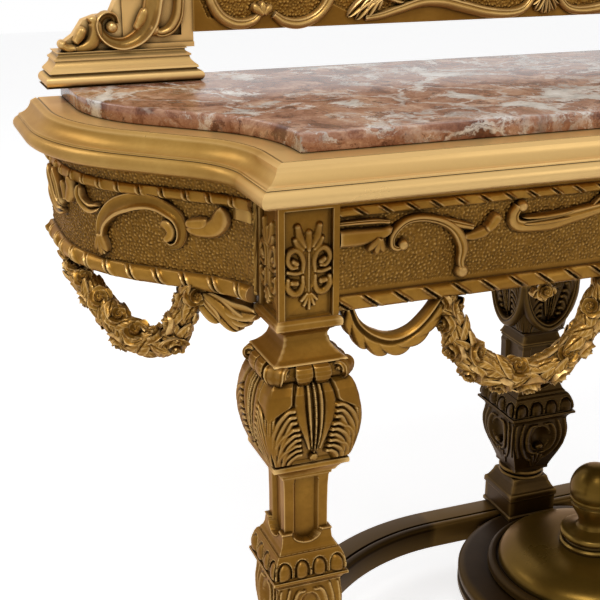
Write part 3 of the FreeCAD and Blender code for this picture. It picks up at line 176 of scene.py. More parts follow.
def weld_points(data):
    """Join points that fall together, and turn all faces outward."""
    import bmesh
    mesh = bmesh.new()
    mesh.from_mesh(data)
    bmesh.ops.remove_doubles(mesh, verts=mesh.verts, dist=0.02 * MM)
    bmesh.ops.dissolve_degenerate(mesh, dist=0.005 * MM, edges=mesh.edges)
    bmesh.ops.recalc_face_normals(mesh, faces=mesh.faces)
    mesh.to_mesh(data)
    mesh.free()


def arc(cx, cy, radius, start, end, count):
    """Points on an arc, angles in degrees."""
    angles = np.radians(np.linspace(start, end, count))
    return [(cx + radius * math.cos(a), cy + radius * math.sin(a)) for a in angles]


def smooth_path(points, count):
    """Even samples on a rounded curve through or near the points, any number of columns."""
    points = np.asarray(points, float)
    padded = np.vstack([2 * points[0] - points[1], points, 2 * points[-1] - points[-2]])
    dense = []
    for i in range(1, len(padded) - 2):
        p0, p1, p2, p3 = padded[i - 1:i + 3]
        for t in np.linspace(0, 1, 24, endpoint=False):
            dense.append(
                0.5 * ((2 * p1) + (p2 - p0) * t + (2 * p0 - 5 * p1 + 4 * p2 - p3) * t * t
                + (3 * p1 - p0 - 3 * p2 + p3) * t ** 3))
    dense.append(points[-1])
    dense = np.array(dense)
    steps = np.r_[0, np.cumsum(np.linalg.norm(np.diff(dense[:, :2], axis=0), axis=1))]
    wanted = np.linspace(0, steps[-1], count)
    return np.stack([np.interp(wanted, steps, column) for column in dense.T], -1)


def along(path, count):
    """Samples of a path and the unit normals on its left."""
    line = smooth_path(path, count)
    tangent = np.gradient(line, axis=0)
    tangent /= np.linalg.norm(tangent, axis=1, keepdims=True)
    return line, np.stack([-tangent[:, 1], tangent[:, 0]], -1)


def spread(values, count):
    """A list of values read evenly over count samples."""
    return np.interp(np.linspace(0, 1, count), np.linspace(0, 1, len(values)), values)


def close_sheet(build, top, under):
    """A sheet, its underside and the walls between them."""
    build.grid(top)
    build.grid(under, flip=True)
    for edge in (0, -1):
        build.grid(np.stack([top[:, edge], under[:, edge]], 1))
        build.grid(np.stack([top[edge], under[edge]], 0))


# Sections of carved bands: (across from -1 to 1, share of the height).
SHELF = [
    (-1, -0.5), (-1, 0.3), (-0.92, 0.42), (-0.8, 0.34), (-0.5, 0.26), (0, 0.3), (0.3, 0.46), (0.48, 0.78),
    (0.62, 0.98), (0.78, 1), (0.92, 0.9), (1, 0.62), (1, -0.5)]
ROUND = [
    (-1, -0.5), (-1, 0.22), (-0.94, 0.46), (-0.84, 0.64), (-0.68, 0.81), (-0.48, 0.94), (-0.24, 1),
    (-0.02, 1), (0.14, 0.94), (0.25, 0.84), (0.34, 0.82), (0.44, 0.88), (0.6, 0.88), (0.78, 0.76),
    (0.9, 0.54), (0.98, 0.3), (1, -0.5)]
FLAT = [(-1, -0.5), (-1, 0.8), (-0.92, 1), (0.92, 1), (1, 0.8), (1, -0.5)]


def plume(
        build, path, widths, height, surface, flutes=2, base=0, thick=0.8, lift=0, tip=0.25, root=0.08,
        count=30):
    """A leaf or finger with a rounded end, along a path of (u, v).

    It has a groove to each flute. thick is how far its underside lies below the base; lift raises
    the tip."""
    line, normal = along(path, count)
    t = np.linspace(0, 1, count)[:, None]
    c = np.linspace(-1, 1, 8 * max(flutes, 1) + 5)[None, :]
    end = np.sqrt(np.clip(1 - np.clip((t - 1 + tip) / tip, 0, 1) ** 2, 0, 1))
    start = np.sqrt(np.clip(t / root, 0.04, 1))
    swell = np.maximum(end * start, 0.03)
    across = c * spread(widths, count)[:, None] / 2 * swell
    ridge = np.abs(np.cos(math.pi * flutes * (c + 1) / 2)) ** 0.7 if flutes else np.sqrt(1 - 0.9 * c ** 2)
    edge = 1 - np.abs(c) ** 8
    rise = lift * np.clip((t - 0.5) * 2, 0, 1) ** 1.5
    out = base + height * (0.38 + 0.62 * ridge) * (0.3 + 0.7 * edge) * (0.45 + 0.55 * swell) + rise
    sheet = beside(line, normal, across, out)
    under = sheet.copy()
    under[..., 2] = base - thick + rise * 0.6
    close_sheet(build, surface(sheet), surface(under))


def fan(build, centre, lengths, angles, width, height, surface, base=0, thick=0.8, start=3):
    """Plumes that spread from a centre; angles in degrees from straight up, to the right."""
    for length, angle in zip(lengths, angles):
        s, c = math.sin(math.radians(angle)), math.cos(math.radians(angle))
        path = [(centre[0] + s * far, centre[1] + c * far) for far in (start, length * 0.6, length)]
        plume(build, path, [width * 0.5, width * 0.9, width], height, surface, 1, base, thick)


# --- surfaces that pieces lie on ---

def side_point(run, reach):
    """Points on the left side, for arrays of runs and reaches."""
    run, reach = np.broadcast_arrays(np.asarray(run, float), np.asarray(reach, float))
    hollow = (run - CORNER_RUN) / HOLLOW
    inner = HOLLOW - reach
    slope = (run - RUN_HOLLOW_END) * C45
    belly = math.radians(225) - (run - RUN_BELLY_START) / BELLY
    outer = BELLY + reach
    parts = [run < CORNER_RUN, run < RUN_HOLLOW_END, run < RUN_BELLY_START, run < RUN_BELLY_END]
    x = [
        -(CORNER + reach), HOLLOW_X + inner * np.cos(hollow), HOLLOW_X + inner * C45 - slope,
        BELLY_X + outer * np.cos(belly)]
    y = [
        GROOVE_Y + run, HOLLOW_Y + inner * np.sin(hollow), HOLLOW_Y + inner * C45 + slope,
        BELLY_Y + outer * np.sin(belly)]
    return np.select(parts, x, BELLY_X - BELLY - reach), np.select(parts, y, BELLY_Y + run - RUN_BELLY_END)


def on_side(points):
    """(run, height, out) points onto the left apron's face."""
    x, y = side_point(points[..., 0], SIDE_REACH + points[..., 2])
    return np.stack([x, y, points[..., 1]], -1)


def on_front(points):
    """(x, height, out) points onto the front apron's face."""
    return np.stack([points[..., 0], APRON_FACE - points[..., 2], points[..., 1]], -1)


def facing_front(y):
    """A map for (x, height, out) points onto an upright face at y."""
    return lambda points: np.stack([points[..., 0], y - points[..., 2], points[..., 1]], -1)


def facing_left(x):
    """A map for (y, height, out) points onto a face at x that looks to the left."""
    return lambda points: np.stack([x - points[..., 2], -points[..., 0], points[..., 1]], -1)


# --- carving tools ---

def ribbon(build, path, widths, heights, surface, profile, base=0, count=60, eye=0):
    """A carved band along a path of (u, v), laid on a surface.

    widths and heights are lists read evenly along the path. eye is the radius of a round boss at
    the path's end."""
    line, normal = along(path, count)
    section = np.array(profile)
    across = section[:, 0][None, :] * spread(widths, count)[:, None] / 2
    out = base + section[:, 1][None, :] * spread(heights, count)[:, None]
    band = surface(beside(line, normal, across, out))
    build.grid(band)
    build.cap(band[0], flip=True)
    build.cap(band[-1])
    if eye:
        boss(build, line[-1], eye, heights[-1] * 1.05 + eye * 0.25, surface, base)


def boss(build, centre, radius, height, surface, base=0):
    """A round button."""
    angles = np.linspace(0, 2 * math.pi, 24, endpoint=False)
    rings = []
    for lift in np.linspace(0, 1, 10):
        wide = radius * math.sqrt(max(0, 1 - max(0, lift * 1.25 - 0.25) ** 2)) if lift < 1 else 0
        out = np.full(angles.shape, base - 1 + lift + height * lift)
        rings.append(
            np.stack([centre[0] + wide * np.cos(angles), centre[1] + wide * np.sin(angles), out], -1))
    build.grid(surface(np.array(rings)), wrap=True)


class Relief:
    """Heights over a patch of points (u, v), for carving that lies within one face."""

    def __init__(self, u, v, ground=0):
        self.u, self.v = u, v
        self.out = np.full(u.shape, float(ground))

    def stroke(self, path, widths, height, power=0.5, base=0):
        """Raise a rounded ridge along a path."""
        near = np.full(self.u.shape, 9)
        for (u, v), width in zip(smooth_path(path, 40), spread(widths, 40)):
            near = np.minimum(near, np.hypot(self.u - u, self.v - v) / (width / 2))
        bump = base + height * np.clip(1 - near ** 2, 0, 1) ** power
        self.out = np.where(near < 1, np.maximum(self.out, bump), self.out)

    def both(self, path, widths, height, **more):
        """The same stroke on both sides of the patch's middle line."""
        self.stroke(path, widths, height, **more)
        self.stroke([(-u, v) for u, v in path], widths, height, **more)

    def spot(self, u, v, radius, height, base=0):
        """Raise a round dome."""
        near = np.hypot(self.u - u, self.v - v) / radius
        bump = base + height * np.sqrt(np.clip(1 - near ** 2, 0, 1))
        self.out = np.where(near < 1, np.maximum(self.out, bump), self.out)

    def sheet(self):
        return np.stack([self.u, self.v, self.out], -1)


def plug(tree, made, inputs):
    """Set a node's inputs to values, or link them to other nodes' outputs."""
    for key, value in inputs.items():
        if hasattr(value, "default_value"):
            tree.links.new(value, made.inputs[key])
        else:
            made.inputs[key].default_value = value


# --- materials ---

def new_material(name):
    material = bpy.data.materials.new(name)
    material.use_nodes = True
    tree = material.node_tree
    return material, tree, tree.nodes["Principled BSDF"]


def node(tree, kind, inputs=None, **settings):
    made = tree.nodes.new(kind)
    for key, value in settings.items():
        setattr(made, key, value)
    plug(tree, made, inputs or {})
    return made


def rgba(colour):
    """A full colour from a grey or three values; a node's output stays as it is."""
    if hasattr(colour, "default_value"):
        return colour
    return ((colour,) * 3 if isinstance(colour, (int, float)) else tuple(colour)) + (1,)


def ramp(tree, source, stops):
    """Colours or greys at positions of a value from 0 to 1."""
    made = node(tree, "ShaderNodeValToRGB", {"Fac": source})
    ends = made.color_ramp.elements
    ends[0].position, ends[1].position = stops[0][0], stops[-1][0]
    ends[0].color, ends[1].color = rgba(stops[0][1]), rgba(stops[-1][1])
    for position, colour in stops[1:-1]:
        made.color_ramp.elements.new(position).color = rgba(colour)
    return made.outputs["Color"]


def mix(tree, factor, one, two, blend="MIX"):
    made = node(tree, "ShaderNodeMix", data_type="RGBA", blend_type=blend)
    plug(tree, made, {0: factor, 6: rgba(one), 7: rgba(two)})
    return made.outputs[2]


def noise(tree, scale, detail=4, rough=0.55, distortion=0, vector=None, output="Fac"):
    if vector is None:
        vector = node(tree, "ShaderNodeTexCoord").outputs["Object"]
    inputs = {
        "Scale": scale, "Detail": detail, "Roughness": rough, "Distortion": distortion, "Vector": vector}
    return node(tree, "ShaderNodeTexNoise", inputs).outputs[output]


def bumps(tree, height, strength, distance):
    """A normal from a field of heights."""
    inputs = {"Strength": strength, "Distance": distance, "Height": height}
    return node(tree, "ShaderNodeBump", inputs).outputs["Normal"]


def gilt_material(name, hollow, dull, bright, worn_and_highlight, depth, grain=0.12, rough=0.34, metal=0.5, gloss=0.35):
    """Water gilding: pale on its edges, rubbed leaf with a painted highlight; dark brown in its hollows and
    concave corners, painted shade from occlusion and pointiness with some patina; with soft brush marks.
    """
    material, tree, shader = new_material(name)
    shade = node(tree, "ShaderNodeAmbientOcclusion", {"Distance": depth}, samples=8)
    point = node(tree, "ShaderNodeNewGeometry").outputs["Pointiness"]
    cloud = noise(tree, 9, 5, 0.6)
    speck = noise(tree, 160, 3, 0.6)
    body = mix(tree, ramp(tree, cloud, [(0.35, 0), (0.7, 1)]), dull, bright)
    body = mix(tree, ramp(tree, speck, [(0.3, 0.35), (0.55, 0)]), body, dull)
    # Painted highlight with some wear: convex pointiness turns raised edges pale.
    body = mix(tree, ramp(tree, point, [(0.512, 0), (0.58, 0.9)]), body, worn_and_highlight)
    # Painted shade with some patina: occlusion and concave pointiness darken hollows and corners toward the
    # hollow colour and lower the metal there.
    occluded_shade = ramp(tree, shade.outputs["AO"], [(0.32, 1), (0.94, 0)])
    crease_shade = ramp(tree, point, [(0.41, 0.95), (0.488, 0)])
    cavity_shade_and_patina = mix(tree, 1, occluded_shade, crease_shade, "LIGHTEN")
    plug(tree, shader, {
        "Base Color": mix(tree, cavity_shade_and_patina, body, hollow),
        "Metallic": ramp(tree, cavity_shade_and_patina, [(0.1, metal), (0.8, 0.1)]),
        "Roughness": ramp(tree, cloud, [(0.3, rough + 0.08), (0.7, rough - 0.04)]),
        "Specular IOR Level": gloss,
        "Specular Tint": rgba((1, 0.62, 0.24)),
        "Normal": bumps(tree, speck, grain, 0.0006)})
    return material


def marble_material():
    """Red-brown marble: mottled reds with brown bruises, under ragged white and grey clouds."""
    material, tree, shader = new_material("red_marble")
    place = node(tree, "ShaderNodeTexCoord").outputs["Object"]
    shift = noise(tree, 7, 6, 0.65, 0, place, "Color")
    bend = node(tree, "ShaderNodeVectorMath", {0: shift, 1: (0.5, 0.5, 0.5)}, operation="SUBTRACT").outputs[
        0]
    bend = node(tree, "ShaderNodeVectorMath", {0: bend, "Scale": 0.12}, operation="SCALE").outputs[0]
    warped = node(tree, "ShaderNodeVectorMath", {0: place, 1: bend}, operation="ADD").outputs[0]
    stone = ramp(tree, noise(tree, 15, 11, 0.74, 0.5, warped), [
        (0.35, (0.115, 0.04, 0.02)), (0.42, (0.235, 0.092, 0.048)), (0.49, (0.385, 0.18, 0.104)),
        (0.57, (0.53, 0.3, 0.19)), (0.66, (0.7, 0.49, 0.35))])
    bruise = ramp(tree, noise(tree, 34, 9, 0.75, 0.3, warped), [(0.53, 0), (0.6, 0.85)])
    stone = mix(tree, bruise, stone, (0.115, 0.042, 0.026))
    edges = node(tree, "ShaderNodeTexVoronoi", {"Scale": 9, "Vector": warped}, feature="DISTANCE_TO_EDGE")
    vein = ramp(tree, edges.outputs["Distance"], [(0, 0.9), (0.035, 0)])
    veins = mix(tree, 1, vein, ramp(tree, noise(tree, 4.4, 4, 0.6), [(0.47, 0), (0.57, 1)]), "MULTIPLY")
    cloud = ramp(tree, noise(tree, 6.2, 14, 0.78, 0.6, warped), [(0.525, 0), (0.548, 0.6), (0.59, 1)])
    whites = mix(tree, 1, veins, cloud, "LIGHTEN")
    pale = ramp(tree, noise(tree, 17, 7, 0.7), [
        (0.38, (0.46, 0.44, 0.4)), (0.5, (0.74, 0.68, 0.6)), (0.62, (0.92, 0.88, 0.81))])
    plug(tree, shader, {
        "Base Color": mix(tree, whites, stone, pale), "Roughness": 0.2, "Specular IOR Level": 0.3})
    return material


def wood_material(name, dark, light):
    """Plain boards: long grain with darker rings and a rough face."""
    material, tree, shader = new_material(name)
    place = node(tree, "ShaderNodeTexCoord").outputs["Object"]
    long = node(tree, "ShaderNodeMapping", {"Scale": (1.2, 16, 16), "Vector": place}).outputs[0]
    grain = noise(tree, 3, 8, 0.65, 1.2, long)
    plug(tree, shader, {
        "Base Color": ramp(tree, grain, [(0.3, dark), (0.7, light)]),
        "Roughness": 0.75,
        "Normal": bumps(tree, grain, 0.25, 0.0008)})
    return material


def steel_material():
    material, tree, shader = new_material("screw_steel")
    tarnish = ramp(tree, noise(tree, 240, 4), [(0.3, (0.16, 0.14, 0.12)), (0.7, (0.5, 0.48, 0.45))])
    plug(tree, shader, {"Base Color": tarnish, "Metallic": 1, "Roughness": 0.45})
    return material


# Each gilding has the colour of its hollows, which is painted shade with some patina, its dull and bright
# leaf, and the colour of its edges, which is rubbed leaf with a painted highlight.
HOLLOW_SHADE_AND_PATINA = (0.02, 0.008, 0.001)
GILT = gilt_material(
    "gilding", HOLLOW_SHADE_AND_PATINA, (0.24, 0.108, 0.012), (0.4, 0.205, 0.034), (0.78, 0.5, 0.19), 0.014)
GILT_SMOOTH = gilt_material(
    "gilding_smooth", HOLLOW_SHADE_AND_PATINA, (0.33, 0.172, 0.034), (0.46, 0.27, 0.068), (0.76, 0.5, 0.2), 0.01, 0.06,
    0.3)
# The same gold as the rest, darkened with painted shade for the rear leg and its foot, which stand in the
# shade under the top; its pale edge colour is a painted highlight.
GILT_PAINTED_SHADE = gilt_material(
    "gilding_painted_shade", (0.005, 0.002, 0.0004), (0.026, 0.011, 0.0012), (0.056, 0.027, 0.004),
    (0.3, 0.17, 0.045), 0.014, 0.08, 0.36, 0.25, 0.25)
# The same gold, darker with painted shade for the front legs, whose neck and column sit under the head and
# frieze; its paler edge colour is a painted highlight.
GILT_LEG_SHADED = gilt_material(
    "gilding_leg_shaded", HOLLOW_SHADE_AND_PATINA, (0.165, 0.07, 0.007), (0.3, 0.145, 0.02), (0.8, 0.52, 0.2), 0.016)
# The same gold, darkened to near black with painted shade for the stretcher and platform under the table.
GILT_DEEP_SHADE = gilt_material(
    "gilding_deep_shade", (0.002, 0.0008, 0.0001), (0.011, 0.0042, 0.0004), (0.024, 0.0105, 0.0012),
    (0.2, 0.11, 0.026), 0.014, 0.06, 0.36, 0.15, 0.14)
# The same gold, made brighter with painted light for the crest and its brackets, which stand in fuller
# light.
GILT_CREST_LIT = gilt_material(
    "gilding_crest_lit", (0.03, 0.013, 0.002), (0.34, 0.18, 0.04), (0.5, 0.3, 0.085), (0.82, 0.56, 0.24),
    0.008, 0.08, 0.32)
# The same gold, darkened with painted shade for the dome and ball under the table.
GILT_DOME_SHADED = gilt_material(
    "gilding_dome_shaded", (0.012, 0.006, 0.001), (0.1, 0.054, 0.007), (0.155, 0.088, 0.013), (0.32, 0.2, 0.05),
    0.014, 0.05, 0.28, 0.5, 0.4)
GROUND = gilt_material(
    "gilding_ground", (0.018, 0.007, 0.0008), (0.19, 0.084, 0.01), (0.28, 0.136, 0.022), (0.56, 0.33, 0.09),
    0.005, 0.05)
MARBLE = marble_material()
WOOD = wood_material("frame_wood", (0.1, 0.055, 0.025), (0.26, 0.155, 0.075))
STEEL = steel_material()


# --- the plan's mouldings ---

def plan_rows(profile, part, start=None, stop=RUN_END, step=7):
    """Rows of a profile of (reach, z) along one side or the front, mitred at the corners."""
    reach, height = np.array(profile, float).T
    corner = np.stack([-(CORNER + reach), GROOVE_Y - reach, height], -1)
    if part == "front":
        return np.array([corner, corner * (-1, 1, 1)])
    first = CORNER_RUN if start is None else start
    rows = [corner] if start is None else []
    for run in np.linspace(first, stop, int((stop - first) / step) + 1):
        rows.append(np.stack([*side_point(run, reach), height], -1))
    rows = np.array(rows)
    return rows * (-1, 1, 1) if part == "right" else rows


def sweep(build, rows):
    """A closed bar through rows of section points."""
    build.grid(rows, wrap=True)
    build.cap(rows[0], flip=True)
    build.cap(rows[-1])


def slab(build, front, back_low, back_high):
    """A plate with a carved front; the back is plain. front is along by up."""
    build.grid(front)
    build.grid(np.stack([back_low, back_high], 1), flip=True)
    build.grid(np.stack([back_low, front[:, 0]], 1))
    build.grid(np.stack([front[:, -1], back_high], 1))
    build.cap(list(front[0]) + [back_high[0], back_low[0]])
    build.cap(list(front[-1]) + [back_high[-1], back_low[-1]], flip=True)


def carved_board(build, sheet, place, foot, head, thick):
    """A board from foot to head behind a carved sheet, laid on a surface."""
    low, high = sheet[:, 0].copy(), sheet[:, -1].copy()
    low[:, 1:] = (foot, -thick)
    high[:, 1:] = (head, -thick)
    slab(build, place(sheet), place(low), place(high))


SURROUND = (
    [(-70, 871), (-70, 896.8), (-50.3, 896.8), (-50.3, 918.6), (-3.4, 918.6)]
    + arc(-1.8, 918.6, 1.6, 180, 360, 7) + [(0.6, 918.4), (3, 917.4)] + arc(29.5, 918.5, 21.5, 190, 262, 10)
    + [(27, 895.3), (28.2, 894.6)] + arc(25, 883.3, 11, 80, -82, 14) + [(25.5, 871.6), (23.5, 871)])


def make_surround():
    """The gilded moulding round the marble, mitred at the front corners."""
    for part in ("left", "front", "right"):
        build = Build()
        sweep(build, plan_rows(SURROUND, part))
        make_piece("surround_moulding_" + part, build, GILT_SMOOTH, ["surround_" + part])


MARBLE_TOP = node_box("marble_top")[1][2]
MARBLE_LOW = node_box("marble_top")[0][2]
MARBLE_REACH = -37


def make_marble():
    """The slab inside the surround, its upper edge a little rounded."""
    edge = (
        [(MARBLE_REACH - 1.2, MARBLE_LOW), (MARBLE_REACH, MARBLE_LOW + 1.2)]
        + arc(MARBLE_REACH - 3.2, MARBLE_TOP - 3.2, 3.2, 0, 90, 6))
    left = plan_rows(edge, "left", step=5)[::-1]
    rows = np.concatenate([left, (left * (-1, 1, 1))[::-1]])
    build = Build()
    build.grid(rows)
    build.cap(rows[:, 0], flip=True)
    build.cap(rows[:, -1])
    build.cap(list(rows[0]) + list(rows[-1])[::-1])
    make_piece("marble_slab", build, MARBLE, ["marble_top"], slot="marble", sharp=50)


# --- frieze ---

def scatter(a, b, seed):
    """A fixed scatter between 0 and 1 for whole-number arrays."""
    wave = np.sin(a * 127.1 + b * 311.7 + seed * 74.7) * 43758.5453
    return wave - np.floor(wave)


def pebbles(u, v, cell, seed):
    """Heights from 0 to 1 of a punched ground: one rounded grain to each jittered cell."""
    column, row = np.floor(u / cell), np.floor(v / cell)
    first = np.full(u.shape, 9)
    second = np.full(u.shape, 9)
    for over in (-1, 0, 1):
        for up in (-1, 0, 1):
            a, b = column + over, row + up
            far = np.hypot(u / cell - a - scatter(a, b, seed), v / cell - b - scatter(a, b, seed + 1))
            second = np.minimum(second, np.maximum(first, far))
            first = np.minimum(first, far)
    return np.clip((second - first) * 1.7, 0, 1) ** 0.75


# The pebbled ground and the plain bands along it.
PEBBLE = 4.7
PEBBLE_DEEP = 2.6
FRIEZE_STEP = 1.5
ROPE_TOP = ROPE_HIGH[2]
SIDE_START = 108
PLAIN_BAND = 10
SIDE_STOP = RUN_END - 13.5
PLAIN_HEAD = 845
PLAIN_DEEP = 0.8
BAND_HEIGHT = 829
TWIST_FOOT, TWIST_HEAD = 834, 847
ROPE_PITCH, TWIST_PITCH = 41.7, 34.5


def frieze_sheet(start, stop, low, high, seed):
    """A pebbled face as points of (run, height, out)."""
    runs = np.arange(start, stop + FRIEZE_STEP, FRIEZE_STEP)
    runs[-1] = stop
    heights = np.linspace(low, high, int((high - low) / FRIEZE_STEP) + 1)
    u, v = np.meshgrid(runs, heights, indexing="ij")
    out = PEBBLE_DEEP * (pebbles(u, v, PEBBLE, seed) - 1)
    return np.stack([u, v, out], -1)


def plain_bands(sheet):
    """Smooth bands along the foot and the head of a pebbled face, a little proud of it."""
    plain = (sheet[..., 1] < ROPE_TOP + PLAIN_BAND) | (sheet[..., 1] > PLAIN_HEAD)
    sheet[..., 2] = np.where(plain, -PLAIN_DEEP, sheet[..., 2])
    return sheet


def make_friezes():
    """The frieze boards: pebbled, with plain bands in front and a short band beside the leg."""
    thick = APRON_HIGH[1] - APRON_LOW[1]
    low, high = ROPE_TOP - 8, FRAME_TOP - 0.5
    build = Build()
    sheet = plain_bands(frieze_sheet(-HALF_FRONT, HALF_FRONT, low, high, 3))
    carved_board(build, sheet, on_front, APRON_BOTTOM, FRAME_TOP, thick)
    make_piece("frieze_ground_front", build, GROUND, ["apron_front"], sharp=180)
    build = Build()
    sheet = frieze_sheet(SIDE_START, SIDE_STOP, low, high, 5)
    carved_board(build, sheet, on_side, APRON_BOTTOM, FRAME_TOP, thick)
    band = [(SIDE_START + 30, BAND_HEIGHT), (SIDE_START + 1, BAND_HEIGHT)]
    ribbon(build, band, [22, 22], [3, 3], on_side, FLAT, count=6)
    make_pair("frieze_ground", build, GROUND, "apron", sharp=180)


def twisted(start, stop, low, high, reach, pitch, slant, step=1.4):
    """Section rows of a half round cut aslant, every other length scooped."""
    runs = np.append(np.arange(start, stop, step), stop)
    turn = np.linspace(-math.pi / 2, math.pi / 2, 21)
    half = (high - low) / 2
    u, t = np.meshgrid(runs, turn, indexing="ij")
    rise = half * np.sin(t)
    place = (u + slant * rise + 2.4 * np.sin(2 * t)) / pitch
    share = place - np.floor(place)
    near = np.minimum(share, 1 - share) * pitch
    cut = np.exp(-(near / 1.6) ** 2)
    rim = np.exp(-((near - 4) / 1.8) ** 2)
    odd = np.floor(place) % 2 == 1
    scoop = np.clip(1 - ((share - 0.5) / 0.36) ** 4, 0, 1) * np.clip(np.cos(t) * 1.5 - 0.55, 0, 1)
    swell = 0.86 + 0.16 * rim - 0.5 * cut - np.where(odd, 0.4 * np.sqrt(scoop), 0)
    out = np.maximum(reach * swell * np.cos(t), -0.4)
    return np.stack([u, (low + high) / 2 + rise, out], -1)


def make_ropes():
    """The rope at the frieze's foot and the twist at its head, on the front and the sides."""
    foot, head = ROPE_LOW[2] - 2, ROPE_HIGH[2] + 2
    front, side = (-HALF_FRONT, HALF_FRONT), (SIDE_START + 1, SIDE_STOP)
    for kind, place, ends, low, high, reach, pitch, slant in (
            ("rope", on_front, front, foot, head, 12, ROPE_PITCH, 1),
            ("rope", on_side, side, foot, head + 2, 13, ROPE_PITCH, -1),
            ("twist", on_front, front, TWIST_FOOT, TWIST_HEAD, 7, TWIST_PITCH, 0.8),
            ("twist", on_side, side, TWIST_FOOT - 2, TWIST_HEAD, 8, TWIST_PITCH, -0.8)):
        build = Build()
        carved_board(build, twisted(*ends, low, high, reach, pitch, slant), place, low, high, 6)
        if place is on_front:
            make_piece(kind + "_moulding_front", build, GILT, [kind + "_front"], sharp=50)
        else:
            make_pair(kind + "_moulding", build, GILT, kind, sharp=50)


def front_scrolls(build):
    """The front's left half: strands from the leg, a C-scroll, a sprig and a long ribbon."""
    place = on_front
    ribbon(
        build, [(-547, 827), (-520, 827), (-495, 826), (-478, 823)], [6, 7, 8, 6], [7, 8, 8, 5], place,
        ROUND, count=24)
    root = [(-474, 816), (-488, 810), (-512, 808), (-547, 808)]
    plume(build, root, [10, 20, 24, 24], 9, place, 0, tip=0.02)
    for u, v in ((-508, 790), (-497, 784), (-487, 786)):
        path = [(-492, 806), ((u - 494) / 2, (v + 806) / 2), (u, v)]
        plume(build, path, [9, 11, 11], 12, place, 0, tip=0.5)
    ribbon(
        build, [(-430, 825), (-412, 821), (-390, 813), (-362, 805)], [7, 10, 12, 9], [6, 8, 8.5, 7], place,
        ROUND)
    ribbon(
        build, [(-374, 750), (-377, 762), (-375, 776), (-377, 788), (-385, 802), (-398, 813), (-416, 821),
        (-437, 825), (-455, 823), (-468, 814), (-475, 803), (-474, 792), (-466, 788), (-459, 792)],
        [9, 12, 16, 17, 15, 13, 12, 11, 11, 10.5, 10, 9.5, 8, 7],
        [8, 9, 10, 10, 10, 10, 10, 10, 10, 9.5, 9, 8.5, 8, 7], place, ROUND, count=120, eye=8)
    boss(build, (-375, 748), 9.5, 11, place)
    plume(
        build, [(-377, 794), (-362, 794), (-347, 797), (-336, 803)], [8, 14, 16, 15], 9, place, 0, tip=0.3)
    plume(build, [(-345, 800), (-335, 807), (-326, 820)], [12, 17, 16], 12, place, 0, tip=0.2)
    ribbon(
        build, [(-297, 826), (-303, 816), (-302, 806), (-292, 800), (-272, 799), (-248, 800), (-224, 804),
        (-198, 808), (-168, 813), (-136, 815), (-104, 808), (-78, 794), (-66, 778), (-72, 765), (-84, 766)],
        [14, 17, 19, 22, 24, 22, 20, 17, 17, 18, 18, 17, 15, 12, 9],
        [9, 10, 10, 10, 10, 10, 10, 10, 10, 10, 10, 10, 9, 8, 7], place, ROUND, count=160, eye=8)
    boss(build, (-292, 826), 8.5, 12, place)
    for high, wide in ((803, 8), (811, 7)):
        path = [(-292, high), (-268, high - 1), (-240, high), (-212, high + 3)]
        plume(build, path, [4, wide, wide, 5], 11.5, place, 0, tip=0.3)
    for path, widths in (
            ([(-190, 808), (-172, 822), (-150, 831), (-124, 832)], [9, 15, 16, 14]),
            ([(-150, 812), (-136, 798), (-118, 788), (-98, 786)], [8, 14, 15, 13]),
            ([(-100, 806), (-84, 822), (-66, 831), (-46, 832)], [9, 15, 16, 14])):
        plume(build, path, widths, 8, place, 1)
    fan(build, (-1, 768), (62, 56, 46, 36), (11, 34, 58, 84), 17, 9, lambda p: place(p * (-1, 1, 1)))
    boss(build, (-5, 770), 8, 11, place)


def side_scrolls(build):
    """The side's carving: a wide C-scroll with leaves at both ends."""
    place = on_side
    ribbon(
        build, [(345, 742), (350, 755), (349, 772), (343, 790), (325, 808), (303, 819), (277, 825.5),
        (254, 825), (237, 819), (222, 810), (215, 797), (215, 784), (221, 773), (231, 769), (240, 773)],
        [15, 19, 20, 22, 24, 25, 25, 23, 20, 19, 18, 16, 13, 10, 8],
        [7, 9, 10, 10, 10, 10, 10, 10, 10, 10, 10, 9, 9, 8, 7], place, SHELF, count=120)
    for u, v in ((334, 748), (345, 741), (357, 748)):
        plume(build, [(346, 772), ((u + 346) / 2, 758), (u, v)], [10, 13, 13], 11, place, 0, tip=0.5)
    eye_leaf = [(240, 776), (231, 784), (230, 792), (237, 799), (246, 797)]
    plume(build, eye_leaf, [9, 14, 16, 16, 14], 11, place, 0, tip=0.3)
    for path, widths, height, flutes, lift in (
            ([(208, 804), (196, 804), (184, 806), (176, 812)], [10, 17, 18, 13], 10, 0, 0),
            ([(208, 797), (188, 796), (168, 802), (157, 815), (154, 832)], [10, 19, 26, 27, 23], 9, 0, 4),
            ([(346, 808), (366, 803), (382, 808), (389, 818), (387, 832)], [11, 14, 16, 17, 16], 10, 1, 3),
            ([(426, 801), (419, 815), (414, 827), (418, 839)], [13, 20, 21, 17], 10, 0, 3),
            ([(436, 800), (440, 814), (444, 828)], [12, 16, 14], 9, 0, 2),
            ([(450, 790), (466, 814), (486, 838)], [14, 20, 18], 12, 1, 3),
            ([(450, 788), (478, 796), (502, 814), (520, 836)], [14, 22, 22, 18], 14, 1, 3),
            ([(446, 782), (480, 782), (510, 788), (536, 804)], [10, 18, 18, 14], 12, 1, 2)):
        plume(build, path, widths, height, place, flutes, lift=lift)


def make_frieze_carving():
    build = Build()
    front_scrolls(build)
    make_pair("frieze_scrolls_front", build, GILT, "front_carving")
    build = Build()
    side_scrolls(build)
    make_pair("frieze_scrolls", build, GILT, "side_carving")


# --- legs ---

def refine(profile, step):
    """Extra points between the profile's own, no farther apart than step."""
    points = [profile[0]]
    for (a, b), (c, d) in zip(profile[:-1], profile[1:]):
        count = max(1, math.ceil(math.hypot(c - a, d - b) / step))
        points += [(a + (c - a) * i / count, b + (d - b) * i / count) for i in range(1, count + 1)]
    return np.array(points)


